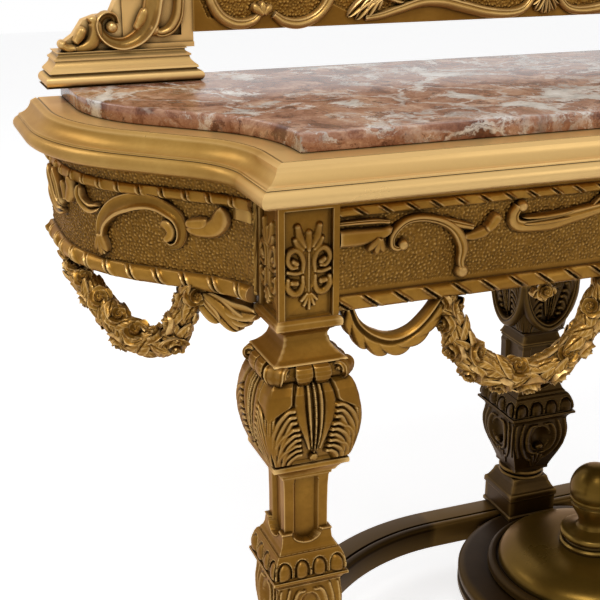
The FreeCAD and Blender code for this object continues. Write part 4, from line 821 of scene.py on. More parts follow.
def square_turned(build, profile, relief=None, columns=52, clip=None, step=2):
    """Four mitred faces of a square shape about the Z axis, raised by relief(u, z).

    clip is how far the corners may reach from the axis, one value or pairs of (reach, z)."""
    path = refine(profile, step)
    u = np.linspace(-1, 1, columns + 1)[None, :]
    half, z = path[:, :1], path[:, 1:]
    across = u * half
    height = np.broadcast_to(z, across.shape)
    side = half + (relief(across, height, half) if relief else 0)
    x, y = u * side, -side * np.ones_like(u)
    if clip is not None:
        limit = clip
        if not np.isscalar(clip):
            limit = np.interp(-z, [-p[1] for p in clip], [p[0] for p in clip])
        far = np.hypot(x, y)
        soft = limit - np.log1p(np.exp((limit - far) / 3)) * 3
        shrink = np.minimum(1, soft / np.maximum(far, 1e-6))
        x, y = x * shrink, y * shrink
    ends = ([], [])
    for quarter in range(4):
        sheet = np.stack([x, y, height], -1)
        build.grid(sheet)
        ends[0].extend(sheet[0, :-1])
        ends[1].extend(sheet[-1, :-1])
        x, y = -y, x
    build.cap(ends[0])
    build.cap(ends[1], flip=True)


def turned(build, centre, profile, count=72, squash=None):
    """A round turned shape; the profile runs from the axis or a flat to the axis."""
    path = np.array(profile, float)
    angles = np.linspace(0, 2 * math.pi, count, endpoint=False)
    x = centre[0] + path[:, :1] * np.cos(angles)
    y = centre[1] + path[:, :1] * np.sin(angles)
    if squash is not None:
        y = np.minimum(y, squash)
    sheet = np.stack([x, y, np.broadcast_to(path[:, 1:], x.shape)], -1)
    build.grid(sheet, wrap=True)
    if path[0, 0] > 0:
        build.cap(sheet[0], flip=True)
    if path[-1, 0] > 0:
        build.cap(sheet[-1])


# The leg from the top down, as (half width, height).
COLLAR_TOP = 657
BULB_TOP = 635.5
BULB_FOOT = 519
NECK = [
    (39, 714), (40, 713.5), (43.5, 709.5), (44, 706), (43.5, 701.5), (41.5, 699.5), (36.5, 698), (35, 696),
    (31, 693.5), (28.8, 688.5), (29, 682), (31.5, 675), (36, 668.5), (42, 662.5), (48, 658.5),
    (49, COLLAR_TOP)]
COLLAR = [
    (46, COLLAR_TOP), (50, 656.8), (54.5, 654), (57.2, 649), (58, 643.5), (56.8, 638), (53, 632.5),
    (48, 629)]
BULB = [
    (48, BULB_TOP), (53.5, 631), (59, 622), (62.4, 610), (64.2, 596), (64.6, 580), (63.4, 563), (60.6, 548),
    (57.2, 536), (53.6, 527), (50, BULB_FOOT)]
ABACUS = [
    (48, BULB_FOOT), (50, 518.6), (51.4, 517.4), (51.8, 514.5), (51.6, 511), (50, 509.6), (47, 508.2),
    (43, 504.8), (40, 500.5), (38.5, 497.5), (37.5, 495.5)]
REAR_THROAT = [(50, BULB_FOOT), (46, 516), (41, 510), (38.5, 503), (37.5, 495.5)]
COLUMN = [
    (37.5, 495.5), (34.5, 495), (34, 489.5), (32, 488.5), (31.2, 485), (30.4, 470), (30, 440), (30, 404),
    (30, 384)]
PANEL_HALF = 16.5
PANEL_TOP = 486
PANEL_DEEP = 5.5
SKIRT = [
    (29, 405.4), (33.2, 405.4), (33.9, 404), (34.2, 399), (35, 391), (37, 385), (39.8, 381.2), (40.6, 378)]
EGGS = [
    (40.6, 378), (42.8, 377.6), (44.4, 375.6), (46.8, 370.5), (48.9, 363.5), (50.2, 355.5), (50, 349.5),
    (48.6, 346), (49, 344.6), (52.2, 344.2), (52.6, 340.8), (51.4, 339.4), (47.4, 336.6), (44, 331)]
VASE = [
    (44.5, 331), (43.5, 328), (43.8, 320), (45.4, 305), (45.2, 286), (42.8, 266), (38.2, 246), (32.6, 226),
    (28.5, 210), (28.5, 203.5)]
BASE = [
    (29.5, 187), (31, 184), (33, 178), (40, 165), (43, 162.5), (44, 159), (44, 152), (42, 149.5),
    (42, 120.5), (44, 118), (44, 112)]
RINGS = [
    (29, 204), (33.5, 203), (35, 199.5), (33.5, 196), (30.5, 195), (30.5, 193.5), (34, 192.5),
    (35.5, 189.5), (34, 186.5), (29, 185.5)]
BULB_CLIP = [
    (75, BULB_TOP), (80, 622), (84.5, 608), (87.5, 592), (87.8, 574), (85, 556), (80.5, 540),
    (74, BULB_FOOT)]
BULB_TALL = BULB_TOP - BULB_FOOT
SQUARE = ((-1, -1), (1, -1), (1, 1), (-1, 1))


def collar_relief(u, z, half):
    """Two rolls in the middle of each face that narrow downward, with deep seams beside them."""
    share = np.abs(u) / half
    drop = np.clip((650 - z) / 20, 0, 1)
    across = (share - 0.215) / (0.212 - 0.085 * drop ** 2)
    roll = 3.4 * np.clip(1 - np.abs(across) ** 2.6, 0, 1) ** 0.6
    return np.where(np.abs(across) < 1, roll - 1.4, -7)


def corner_roll(build, place, radius, half_long, heading):
    """A leaf turned over at a corner: a drooping roll with a spiral cut in each end."""
    away = np.array([math.cos(heading), math.sin(heading), 0])
    axis = np.array([-away[1], away[0], 0])
    up = np.array([0, 0, 1])
    turn = np.linspace(0, 2 * math.pi, 48, endpoint=False)
    droop = np.clip(-np.sin(turn), 0, 1) ** 2
    reach = radius * (1 + 0.42 * droop)
    half = half_long * (1 - 0.42 * droop)
    disc = []
    for share in np.linspace(0.02, 0.9, 14):
        coil = np.cos(2 * math.pi * (share * 1.7 - turn / (2 * math.pi))) * min(1, 3 * share) * (
            1 - share ** 6)
        disc.append((share * reach, half + 1.5 * coil + 1.6 * math.exp(-(share / 0.26) ** 2)))
    disc += [(0.965 * reach, half - 0.6), (reach, half - 2)]
    rows = [(far, -out) for far, out in disc]
    for c in (-0.8, -0.7, -0.6, -0.3, 0, 0.3, 0.6, 0.7, 0.8):
        seam = 0.07 if abs(c) == 0.7 else 0
        rows.append((reach * (1.03 - 0.06 * c * c - seam), c * half))
    rows += disc[::-1]
    ray = np.cos(turn)[:, None] * away + np.sin(turn)[:, None] * up
    build.grid([np.array(place) + far[:, None] * ray + out[:, None] * axis for far, out in rows], wrap=True)


def bulb_relief(u, z, half):
    """Acanthus fingers from the corners, smooth shields over them, and ribs down the middle."""
    unit = 62
    patch = Relief(u / half * unit, z, -3.8)
    share = np.abs(u) / half
    rise = (z - BULB_FOOT) / BULB_TALL

    def lines(points):
        return [(across * unit, BULB_FOOT + up * BULB_TALL) for across, up in points]

    outer = lines([(0.31, 1), (0.33, 0.8), (0.29, 0.6), (0.2, 0.4), (0.12, 0.22)])
    patch.both(outer, [13, 16, 14, 9, 5], 4.4, base=-2.8)
    inner = lines([(0.135, 1), (0.125, 0.72), (0.1, 0.45), (0.06, 0.2)])
    patch.both(inner, [6, 6, 4.6, 3], 4.4, base=-2.4, power=0.55)
    patch.stroke(lines([(0, 1), (0, 0.6), (0, 0.16)]), [4.6, 4.2, 3.2], 5.4, base=-2.4, power=0.6)
    for tip, high in ((0.33, 0.29), (0.36, 0.5), (0.44, 0.72)):
        for k in (2, 1, 0):
            low, out = 0.068 * k, 0.035 * k
            finger = lines([
                (0.93 - 0.09 * k, high - 0.5), (0.9 - 0.11 * k, high - 0.3 - 0.4 * low),
                (0.76 - 0.09 * k, high - 0.12 - 0.8 * low), (tip + 0.14 - out, high - 0.01 - low),
                (tip - 0.4 * out, high - low)])
            patch.both(finger, [5, 8, 9, 8.5, 6.5], 6.4 - 0.4 * k, base=-2.8 + 0.2 * k, power=0.55)
    for at, wide, high in ((0.99, 9, 6.4), (0.875, 6, 4.8)):
        rib = lines([(at, 0.99), (at, 0.75), (at, 0.45), (at - 0.05, 0.2), (at - 0.1, 0)])
        patch.both(rib, [wide, wide, wide, wide * 0.9, wide * 0.7], high, base=-2.6, power=0.6)
    edge = 0.77 - 0.3 * (share - 0.45) + 0.9 * np.clip(0.55 - share, 0, 1) ** 2 * 6
    shield = np.clip((rise - edge) / 0.02, 0, 1) * np.clip((share - 0.47) / 0.03, 0, 1)
    dish = 5.8 - 1.6 * np.clip(1 - ((share - 0.74) / 0.22) ** 2, 0, 1)
    patch.out = np.where(shield > 0, np.maximum(patch.out * (1 - shield), -3.8 + dish * shield), patch.out)
    patch.spot(0, BULB_FOOT + 0.09 * BULB_TALL, 6.5, 5)
    foot = np.clip((z - BULB_FOOT) / 4, 0, 1)
    return patch.out * foot - 1.5 * (1 - foot)


def column_relief(u, z, half):
    """A sunk panel on each face between plain edges."""
    return np.where((np.abs(u) < PANEL_HALF) & (z < PANEL_TOP), -PANEL_DEEP, 0)


def skirt_relief(u, z, half):
    """The flared skirt's upper edge dips in the middle of each face, with a lip along it."""
    wide, deep, high = 20, 14, 405.4
    share = np.clip(np.abs(u) / wide, 0, 1)
    edge = high - deep * np.sqrt(1 - share ** 2)
    cut = (np.abs(u) < wide) & (z > edge)
    lip = 1.4 * np.exp(-((z - edge + 1.6) / 1.3) ** 2)
    return np.where(cut, 23.5 - half, lip)


def eggs_relief(u, z, half):
    """Four eggs to a face, each under an arched rim, with small darts between."""
    pitch = 25
    near = (u / pitch - np.floor(u / pitch) - 0.5) * pitch
    up = np.maximum(0, z - 357)
    far = np.hypot(near / 8.6, up / 11.5)
    egg = 6 * np.sqrt(np.clip(1 - far ** 2, 0, 1))
    ring = np.hypot(near / 11.4, up / 15)
    rim = 3.6 * np.exp(-((ring - 1) / 0.1) ** 2)
    dart = 3.4 * np.exp(-((np.abs(near) - pitch / 2) / 1.3) ** 2) * (z < 356)
    outside = 3 * np.clip((ring - 1) / 0.08, 0, 1) * (z > 358)
    band = (z < 375.5) & (z > 346.2)
    return np.where(band, np.maximum(np.maximum(egg, rim), np.maximum(dart, outside)) - 3.2, 0)


def vase_relief(u, z, half):
    """A hollow oval framed by two C-scrolls, with a ball at its foot."""
    patch = Relief(u, z)
    oval = np.hypot(u / 16, (z - 290) / 27)
    patch.out = np.where(oval < 1, -8.5 * (1 - oval ** 2) ** 0.5 - 0.8, patch.out)
    for path, widths, height in (
            ([(7, 322), (16, 320), (21, 305), (22, 285), (18, 266), (9, 256), (3, 256)],
            [4, 7, 8, 8, 7, 6, 4], 3.6), ([(27, 326), (31, 306), (31, 282), (25, 258), (15, 238)],
            [5, 7, 7, 6, 4], 2.6), ([(39, 326), (41, 300), (39, 274), (32, 248)], [4, 6, 5, 4], 2)):
        patch.both(path, widths, height)
    patch.spot(0, 271, 7, 6, base=-2)
    for out, top in ((0, 250), (7, 246), (13, 238)):
        patch.both([(out, top), (out * 0.6, 232), (out * 0.3, 216)], [6, 5, 3], 2.4)
    return patch.out


def leg_body(build, rear=False):
    """The leg from neck to base block about the Z axis; the rear one has a plain throat."""
    square_turned(build, NECK, columns=16)
    square_turned(build, COLLAR, collar_relief, columns=100, clip=77, step=1.2)
    for i, j in SQUARE:
        corner_roll(build, (i * 44, j * 44, 647), 10.5, 14, math.atan2(j, i))
    clip = [(r * (0.9 if rear else 1), z) for r, z in BULB_CLIP]
    square_turned(build, BULB, bulb_relief, columns=120, clip=clip, step=1.15)
    square_turned(build, REAR_THROAT if rear else ABACUS, columns=12)
    square_turned(build, COLUMN, column_relief, columns=60, step=1.5)
    square_turned(build, SKIRT, skirt_relief, columns=80, step=1)
    square_turned(build, EGGS, eggs_relief, columns=110, step=1)
    square_turned(build, VASE, vase_relief, columns=64, step=1.6)
    turned(build, (0, 0), RINGS, 48)
    square_turned(build, BASE, columns=12)


HEAD_HALF = 39.5
HEAD_LOW = 700
HEAD_TOP = FRAME_TOP - 0.4
HEAD_BACK = 60.5


def panel_sheet(half, low, high, step=0.9):
    """The carved panel of a head: a frame round a recess with a leaf, scrolls and a palmette."""
    u = np.linspace(-half, half, int(2 * half / step) + 1)
    v = np.linspace(low, high, int((high - low) / step) + 1)
    patch = Relief(*np.meshgrid(u, v))
    left, foot, top, deep = half - 8.5, low + 12, high - 20, -6.5
    gap = np.minimum(left - np.abs(patch.u), np.minimum(patch.v - foot, top - patch.v))
    patch.out = np.where(gap > 0, np.maximum(-4 * gap, deep + 0.16 * gap), 0)
    sill = np.clip((foot + 5 - patch.v) / 5, 0, 1) * (gap > 0)
    patch.out = np.maximum(patch.out, np.where(gap > 0, deep + 6 * sill, -9))
    patch.stroke([(0, 800), (0, 780), (0, 745)], [6, 6, 4.5], 6.4, base=deep)
    for path, widths, height in (
            ([(5.5, 806), (5.5, 790), (5.5, 768), (3, 748)], [4.5, 4.5, 4.5, 3.5], 5),
            ([(8, 774), (7, 787), (11, 798), (18, 802), (25, 798), (27, 789), (22, 781), (16, 781)],
             [7, 9, 10, 10, 10, 9, 9, 8], 7),
            ([(16, 785), (20, 788)], [10, 9], 8),
            ([(9, 773.5), (17, 772.5), (27, 775)], [7, 8, 7], 6.4),
            ([(27, 765), (27, 755), (20, 747), (12, 748), (8, 757), (8, 768)], [8, 10, 11, 11, 9, 7], 7.2),
            ([(22, 761), (16, 760)], [9, 10], 7.4),
            ([(5, 806), (11, 818), (14, 830)], [8, 13, 10], 7.4),
            ([(8, 802), (13, 807), (17, 814)], [9, 11, 9], 6.6)):
        patch.both(path, widths, height, base=deep + 0.6)
    patch.stroke([(0, 801), (0, 812), (0, 822)], [9, 15, 13], 8, base=deep, power=0.6)
    for angle in (0, 21, 44):
        c, s = math.cos(math.radians(angle)), math.sin(math.radians(angle))
        long = 21 - angle * 0.16
        ray = [(s * 4, 748 - c * 3), (s * long * 0.6, 748 - c * long * 0.6), (s * long, 748 - c * long)]
        patch.both(ray, [5, 7.4, 6.2], 7.6, base=deep + 0.6)
    return patch


def rear_swags(build, x, y, half):
    """A round swag hung across each face of the rear bulb, with a flower over it."""
    swag = [
        (-0.98, 574), (-0.9, 544), (-0.66, 514), (-0.33, 497), (0, 491), (0.33, 497), (0.66, 514),
        (0.9, 544), (0.98, 574)]
    middle = 566
    for c, s in ((1, 0), (0, 1), (-1, 0), (0, -1)):
        def place(points):
            u, out = points[..., 0], -(half + points[..., 2])
            return np.stack([x + u * c - out * s, y + u * s + out * c, points[..., 1]], -1)

        path = [(half * share, z) for share, z in swag]
        ribbon(
            build, path, [12, 14, 15, 17, 18, 17, 15, 14, 12], [11, 12, 12, 13, 13, 13, 12, 12, 11], place,
            ROUND, base=-5)
        for turn in np.radians(90 + 72 * np.arange(5)):
            petal = [(far * math.cos(turn), middle + far * math.sin(turn)) for far in (3, 10, 17)]
            plume(build, petal, [10, 15, 14], 8, place, 0, base=1, thick=5)
        boss(build, (0, middle), 6.5, 11, place, base=1)


def head_face(half):
    """The panel's points, ready to lay on a face."""
    return np.transpose(panel_sheet(half, HEAD_LOW, HEAD_TOP).sheet(), (1, 0, 2))


def make_leg_head(build, x, y):
    """The square block that the aprons join, with carved panels to the front and outward."""
    x0, x1 = x - HEAD_HALF, x + HEAD_HALF
    y0, y1 = y - HEAD_HALF, y + HEAD_BACK
    z0, z1 = HEAD_LOW, HEAD_TOP
    face = head_face(HEAD_HALF)
    build.grid(facing_front(y0)(face + (x, 0, 0)))
    build.grid(facing_left(x0)(face - (y, 0, 0)))
    edge = y + HEAD_HALF
    for corners in (
            [(x0, edge, z0), (x0, y1, z0), (x0, y1, z1), (x0, edge, z1)],
            [(x1, y0, z0), (x1, y1, z0), (x1, y1, z1), (x1, y0, z1)],
            [(x0, y1, z0), (x1, y1, z0), (x1, y1, z1), (x0, y1, z1)],
            [(x0, y0, z0), (x1, y0, z0), (x1, y1, z0), (x0, y1, z0)],
            [(x0, y0, z1), (x1, y0, z1), (x1, y1, z1), (x0, y1, z1)]):
        build.cap(corners)


def node_centre(name):
    """The middle of a node in plan."""
    low, high = node_box(name)
    return (low[0] + high[0]) / 2, (low[1] + high[1]) / 2


# Heights in the turned body of a leg and the heights that each leg gives them; REAR_WIDE is how
# much wider the rear leg is, by height.
FRONT_FROM = [112, 200, 332, 405, 495, 519, 640, 900]
FRONT_TO = [112, 200, 340, 413, 499, 522, 640, 900]
REAR_FROM = [112, 200, 332, 342, 378, 404, 499, 519, 636, 880]
REAR_TO = [112, 200, 313, 323, 359, 385, 459, 479, 636, 880]
REAR_WIDE_AT = [112, 170, 205, 340, 480, 497, 512, 520, 560, 640, 700, 880]
REAR_WIDE = [1.1, 1.1, 1.2, 1.22, 1.22, 1.05, 0.8, 0.86, 0.86, 1, 1.22, 1.22]

REAR_SWAG_OUT = 52
REAR_GAP = 33.5


def placed_leg(foot, heights, new_heights, wide_at=(0, 1), wide=(1, 1), rear=False):
    """A leg over its foot, its parts moved up or down and widened by height."""
    x, y = node_centre(foot)
    body = Build()
    leg_body(body, rear)

    def fit(p):
        swell = np.interp(p[:, 2], wide_at, wide)
        return np.stack(
            [p[:, 0] * swell + x, p[:, 1] * swell + y, np.interp(p[:, 2], heights, new_heights)], -1)

    leg = Build()
    leg.merge(body, fit)
    return leg, x, y


def make_legs():
    left, x, y = placed_leg("foot_front_left", FRONT_FROM, FRONT_TO)
    make_leg_head(left, x, y)
    # Painted shade: the front legs take the darkened copy of the gilding.
    make_piece("baluster_front_left", left, GILT_LEG_SHADED, ["leg_front_left", "leg_panel_carvings"])
    make_piece("baluster_front_right", left.mirror(), GILT_LEG_SHADED, ["leg_front_right"])
    rear, x, y = placed_leg("foot_rear", REAR_FROM, REAR_TO, REAR_WIDE_AT, REAR_WIDE, rear=True)
    rear_swags(rear, x, y, REAR_SWAG_OUT)
    half = HEAD_HALF * REAR_WIDE[-1]
    rear.grid(facing_front(y - half)(head_face(half)))
    box_shell(rear, (-half, y - half, HEAD_LOW), (half, WALL - REAR_GAP, HEAD_TOP), front=False)
    # Painted shade: the rear leg takes the copy of the gilding darkened to near black.
    make_piece("baluster_rear", rear, GILT_PAINTED_SHADE, ["leg_rear"])


def box_shell(build, low, high, front=True):
    """A plain box; its front may stay open."""
    (x0, y0, z0), (x1, y1, z1) = low, high
    corners = [(x, y, z) for x in (x0, x1) for y in (y0, y1) for z in (z0, z1)]
    faces = [(0, 1, 3, 2), (4, 6, 7, 5), (2, 3, 7, 6), (0, 2, 6, 4), (1, 5, 7, 3)]
    if front:
        faces.append((0, 4, 5, 1))
    build.add(corners, faces)


def make_feet():
    """Turned bun feet with a short neck and a bead."""
    for name in ("foot_front_left", "foot_front_right", "foot_rear"):
        low, high = node_box(name)
        radius, top = (high[0] - low[0]) / 2, high[2]
        profile = [(0, 0), (radius * 0.62, 0), (radius * 0.72, 1.5), (radius * 0.74, 5)]
        for turn in np.linspace(0.2, math.pi - 0.2, 16):
            profile.append(
                (radius * (0.74 + 0.26 * math.sin(turn)), 6 + (top - 22) * (1 - math.cos(turn)) / 2))
        for share, down in (
                (0.76, 14), (0.7, 11), (0.7, 9), (0.86, 6.5), (0.9, 3.5), (0.86, 0.6), (0.8, 0), (0, 0)):
            profile.append((radius * share, top - down))
        build = Build()
        turned(build, node_centre(name), profile, 64)
        # Painted shade: the rear foot takes the copy of the gilding darkened to near black.
        make_piece("bun_" + name, build, GILT_PAINTED_SHADE if "rear" in name else GILT, [name])


# --- stretcher ---

RAIL_LOW, RAIL_HIGH = node_box("stretcher_rail")
PLATFORM_LOW, PLATFORM_HIGH = node_box("stretcher_platform")
DOME_LOW, DOME_HIGH = node_box("dome")
RING_LOW, RING_HIGH = node_box("dome_ring")
STRETCHER_LOW, STRETCHER_TOP = RAIL_LOW[2], RAIL_HIGH[2]
BEND_X = RAIL_HIGH[0]
STRETCHER_WIDE = RAIL_HIGH[1] - RAIL_LOW[1]
LEG_PLACE = node_centre("foot_front_left")
PAD_HALF = LEG_PLACE[1] - node_box("stretcher_arm_left")[0][1]
CURVE_INNER = 349


def stretcher_section():
    """(distance outward from the inner edge, z) with a bead along the inner top edge."""
    low, top, wide = STRETCHER_LOW, STRETCHER_TOP, STRETCHER_WIDE
    return (
        [(0, low + 2), (2, low), (wide - 2, low), (wide, low + 2), (wide, top - 5), (wide - 2, top - 1.5),
        (wide - 6, top), (20, top), (18.5, top - 3.5), (17, top - 4)] + [(9 + 8 * math.cos(t),
        top - 3.5 + 5 * math.sin(t)) for t in np.linspace(0.15, math.pi - 0.3, 9)]
        + [(0.6, top - 6), (0, top - 8)])


def make_stretcher():
    """Two curved arms with a square pad at each front foot, and a straight rail between them."""
    out, z = np.array(stretcher_section()).T
    bend_y = RAIL_HIGH[1] - CURVE_INNER - STRETCHER_WIDE
    far = CURVE_INNER + out
    rows = [
        np.stack([-BEND_X + far * math.cos(angle), bend_y + far * math.sin(angle), z], -1)
        for angle in np.radians(np.linspace(90, 180, 72))]
    arm = Build()
    sweep(arm, rows)
    pad = [
        (PAD_HALF - 3, STRETCHER_LOW), (PAD_HALF, STRETCHER_LOW + 2), (PAD_HALF, STRETCHER_TOP - 3),
        (PAD_HALF - 3, STRETCHER_TOP)]
    x, y = LEG_PLACE
    sweep(arm, [[(x + i * half, y + j * half, height) for i, j in SQUARE] for half, height in pad])
    # Painted shade: the arms, and the rail below, take the gilding darkened to near black.
    make_pair("stretcher_curve", arm, GILT_DEEP_SHADE, "stretcher_arm")
    rail = Build()
    sweep(rail, [np.stack([np.full(len(z), end), RAIL_LOW[1] + out, z], -1) for end in (-BEND_X, BEND_X)])
    make_piece("stretcher_straight", rail, GILT_DEEP_SHADE, ["stretcher_rail"])


DOME_NECK = 50
BALL, BALL_HEIGHT = 42, 268


def make_platform():
    """The round platform, the ring and dome that stand on it, and the ball on the dome."""
    radius = (PLATFORM_HIGH[0] - PLATFORM_LOW[0]) / 2
    centre = 0, PLATFORM_LOW[1] + radius
    low, top = PLATFORM_LOW[2], PLATFORM_HIGH[2]
    platform = [(0, low)]
    for out, up in (
            (-6, 0), (-2, 2), (0, 6), (0, 14), (-3, 17), (-4, 20), (-4, 22), (-1, 24), (0, 28), (0, 33),
            (-2, 37), (-6, 40)):
        platform.append((radius + out, low + up))
    platform += [(radius - 11, top - 0.6), (radius - 16, top), (0, top)]
    radius = (RING_HIGH[0] - RING_LOW[0]) / 2
    low, top = RING_LOW[2], RING_HIGH[2]
    ring = [(0, low), (radius - 2, low), (radius, low + 2)] + arc(radius - 8, top - 8, 8, 0, 90, 8)
    ring += [(radius - 13, top - 0.5), (radius - 16, top - 3), (0, top - 3)]
    radius = (DOME_HIGH[0] - DOME_LOW[0]) / 2
    low, top = DOME_LOW[2], DOME_HIGH[2]
    dome = [(0, low - 3), (radius, low - 3), (radius, low)]
    for turn in np.linspace(0.04, 1, 26) * math.pi / 2:
        dome.append(
            (DOME_NECK + (radius - DOME_NECK) * math.cos(turn) ** 0.85,
            low + (top - low) * math.sin(turn) ** 0.9))
    dome += [(0, top)]
    finial = [(0, -1), (50, -1), (51.5, 2), (51.5, 5), (49, 8), (44.5, 9), (43.5, 12), (45, 14.5), (50, 16)]
    finial += arc(46, 21.5, 6, -60, 70, 7)
    finial += [
        (42, 28), (33, 30), (27, 33), (23.5, 38), (23, 43), (25, 50), (29.5, 58), (34.5, 66), (37.5, 72.5),
        (38.8, 77), (37, 78.5), (37, 80), (39, 81.5), (40.2, 86)]
    finial = [(out, top + up) for out, up in finial] + arc(0, BALL_HEIGHT, BALL, -22, 90, 26)
    finial[-1] = (0, BALL_HEIGHT + BALL)
    for name, profile, count, material, node, sharp in (
            # Painted shade: the platform and the dome's ring take the gilding darkened to near black.
            ("round_platform", platform, 128, GILT_DEEP_SHADE, "stretcher_platform", 30),
            ("dome_moulding", ring, 128, GILT_DEEP_SHADE, "dome_ring", 30),
            # Painted shade: the dome and ball take the darkened copy of the gilding.
            ("dome_shell", dome, 128, GILT_DOME_SHADED, "dome", 30),
            ("finial_ball", finial, 96, GILT_DOME_SHADED, "finial", 28)):
        build = Build()
        turned(build, centre, profile, count, PLATFORM_HIGH[1] if profile is platform else None)
        make_piece(name, build, material, [node], sharp=sharp)


SWAG_DEPTH = -6


# --- garlands ---

def petal_rose(radius, seed):
    """A full rose that looks along +Z: a low dome of petals wound round its heart."""
    build = Build()
    share = np.linspace(0, 1, 24)[:, None]
    turn = np.linspace(0, 2 * math.pi, 45, endpoint=False)[None, :]
    wind = share * 2.7 - turn / (2 * math.pi) + 0.37 * seed
    layer = np.floor(wind)
    step = wind - layer
    petal = np.cos(2.5 * turn + 1.9 * layer + seed) ** 2
    reach = radius * share * (0.9 + 0.14 * petal * share)
    dome = 0.66 * np.sqrt(np.clip(1 - 0.88 * share ** 2, 0, 1))
    rise = radius * (dome + (0.36 * step ** 1.6 * (0.6 + 0.4 * petal) - 0.18) * np.minimum(1, 4 * share))
    top = np.stack([reach * np.cos(turn), reach * np.sin(turn), rise + 0 * turn], -1)
    build.grid(top, wrap=True)
    skirt = top[-1] * (0.72, 0.72, 0) - (0, 0, radius * 0.3)
    build.grid([top[-1], skirt], wrap=True)
    build.cap(skirt)
    return build


def veined_leaf(length, width, bend):
    """A pointed leaf along +X in the XY plane, domed, with a midrib and side veins."""
    build = Build()
    t = np.linspace(0, 1, 22)[:, None]
    c = np.linspace(-1, 1, 13)[None, :]
    far = np.abs(c)
    reach = np.maximum(np.sin(math.pi * t ** 0.75) ** 0.75, 0.02)
    vein = np.clip(np.cos((t * 4.2 - far * 1.1) * 2 * math.pi), 0, 1) ** 2
    midrib = 0.13 * np.exp(-(c / 0.13) ** 2)
    z = width * reach * (0.26 * (1 - c ** 2) - midrib - 0.075 * vein * (1 - far) * far ** 0.4 * 1.6)
    z = z + bend * (t - 0.35) ** 2 * length
    sheet = np.stack([length * t + 0 * c, c * reach * width / 2, z], -1)
    close_sheet(build, sheet, sheet - (0, 0, 2.4))
    return build


def stand(points, base, forward, up):
    """Turn points so that X looks forward and Z up, and move them to base."""
    up = up / np.linalg.norm(up)
    forward = forward - up * forward.dot(up)
    forward = forward / np.linalg.norm(forward)
    side = np.cross(up, forward)
    return base + points[:, :1] * forward + points[:, 1:2] * side + points[:, 2:] * up


def rose_garland(build, path, sizes, surface, seed):
    """Full roses and big leaves tied round a hanging line, in rings of six."""
    picker = random.Random(seed)
    count = 120
    line, normal = along(path, count)
    size = spread(sizes, count)
    turn = np.linspace(0, 2 * math.pi, 12, endpoint=False)
    thick = size[::2, None]
    core = beside(
        line[::2], normal[::2], 0.55 * thick * np.sin(turn), SWAG_DEPTH + 0.52 * thick * np.cos(turn))
    sweep(build, surface(core))
    steps = np.r_[0, np.cumsum(np.linalg.norm(np.diff(line, axis=0), axis=1))]
    outward = np.array([0, 0, 1])
    at = 8
    ring = 0
    while at < steps[-1] - 4:
        i = int(np.interp(at, steps, np.arange(count)))
        ahead = np.append(line[min(i + 1, count - 1)] - line[max(i - 1, 0)], 0)
        ahead /= np.linalg.norm(ahead)
        across = np.append(normal[i], 0)
        centre = np.append(line[i], SWAG_DEPTH)
        turned_by = 26 if ring % 2 else -26
        for k, place in enumerate((-150, -95, -38, 20, 72, 124)):
            angle = math.radians(place + turned_by + picker.uniform(-8, 8))
            away = across * math.sin(angle) + outward * math.cos(angle)
            spot = centre + away * size[i] * 0.52 * picker.uniform(0.94, 1.08)
            if k == 2 + ring % 2 and ring % 4 != 3:
                bloom = petal_rose(size[i] * picker.uniform(0.88, 1.02), picker.randrange(9))
                tilt = away + ahead * picker.uniform(-0.2, 0.2)
                build.merge(bloom, lambda p: surface(stand(p, spot, ahead, tilt)))
                continue
            swing = picker.uniform(-1, 1)
            heading = ahead * math.cos(swing) + np.cross(away, ahead) * math.sin(swing)
            if picker.random() < 0.4:
                heading = -heading
            length = size[i] * picker.uniform(1.75, 2.05)
            blade = veined_leaf(length, length * picker.uniform(0.46, 0.54), picker.uniform(-0.5, -0.1))
            tilt = away - heading * picker.uniform(0.1, 0.4)
            start = spot + away * size[i] * 0.06 - heading * length * 0.45
            build.merge(blade, lambda p: surface(stand(p, start, heading, tilt)))
        at += size[i] * 0.98
        ring += 1


def leaf_swag(build, path, widths, surface, thick, lobes=7, smooth=0.45):
    """A hanging acanthus leaf: flutes along it and rounded lobes on its lower edge.

    smooth is how deep the lobes still are at the leaf's end."""
    count = 140
    line, normal = along(path, count)
    t = np.linspace(0, 1, count)[:, None]
    c = np.linspace(-1, 1, 37)[None, :]
    slant = t * lobes - 0.7 * (1 - c)
    cut = np.abs(np.sin(math.pi * slant)) ** 0.5
    fade = 1 - (1 - smooth) * np.clip((t - 0.55) / 0.2, 0, 1)
    reach = 1 - 0.36 * (1 - cut) * np.clip(-c, 0, 1) ** 0.7 * fade
    across = c * reach * spread(widths, count)[:, None] / 2
    dome = np.sqrt(np.clip(1 - c ** 2, 0, 1))
    groove = 0.4 * (1 - cut) * np.clip(0.25 - c, 0, 1) * fade
    rib = 0.16 * np.exp(-((c - 0.66) / 0.16) ** 2)
    valley = 0.34 * np.exp(-((c - 0.34) / 0.17) ** 2)
    out = SWAG_DEPTH + thick * (0.34 + dome * 0.62 - groove + rib - valley)
    sheet = beside(line, normal, across, out)
    under = sheet.copy()
    under[..., 2] = SWAG_DEPTH - thick * (0.45 + 0.3 * dome)
    close_sheet(build, surface(sheet), surface(under))


ROSETTE_X = 243
ROSETTE_Z = 702


def rosette(build, x):
    """A small rose over leaves, where the centre swag meets a garland."""
    spot = np.array([x, ROSETTE_Z, SWAG_DEPTH])
    ahead, tilt = np.array([1, 0, 0]), np.array([0, 0.1, 1])
    build.merge(petal_rose(13, 4), lambda p: on_front(stand(p, spot, ahead, tilt)))
    for u in (-16, 0, 16):
        path = [(x + u * 0.3, 714 - abs(u)), (x + u * 0.7, 700), (x + u, 686 + abs(u) * 0.5)]
        plume(build, path, [8, 14, 12], 6, on_front, 1, SWAG_DEPTH - 2, 4)
    plume(build, [(x, 717), (x, 708)], [16, 12], 6, on_front, 0, SWAG_DEPTH - 2, 4)


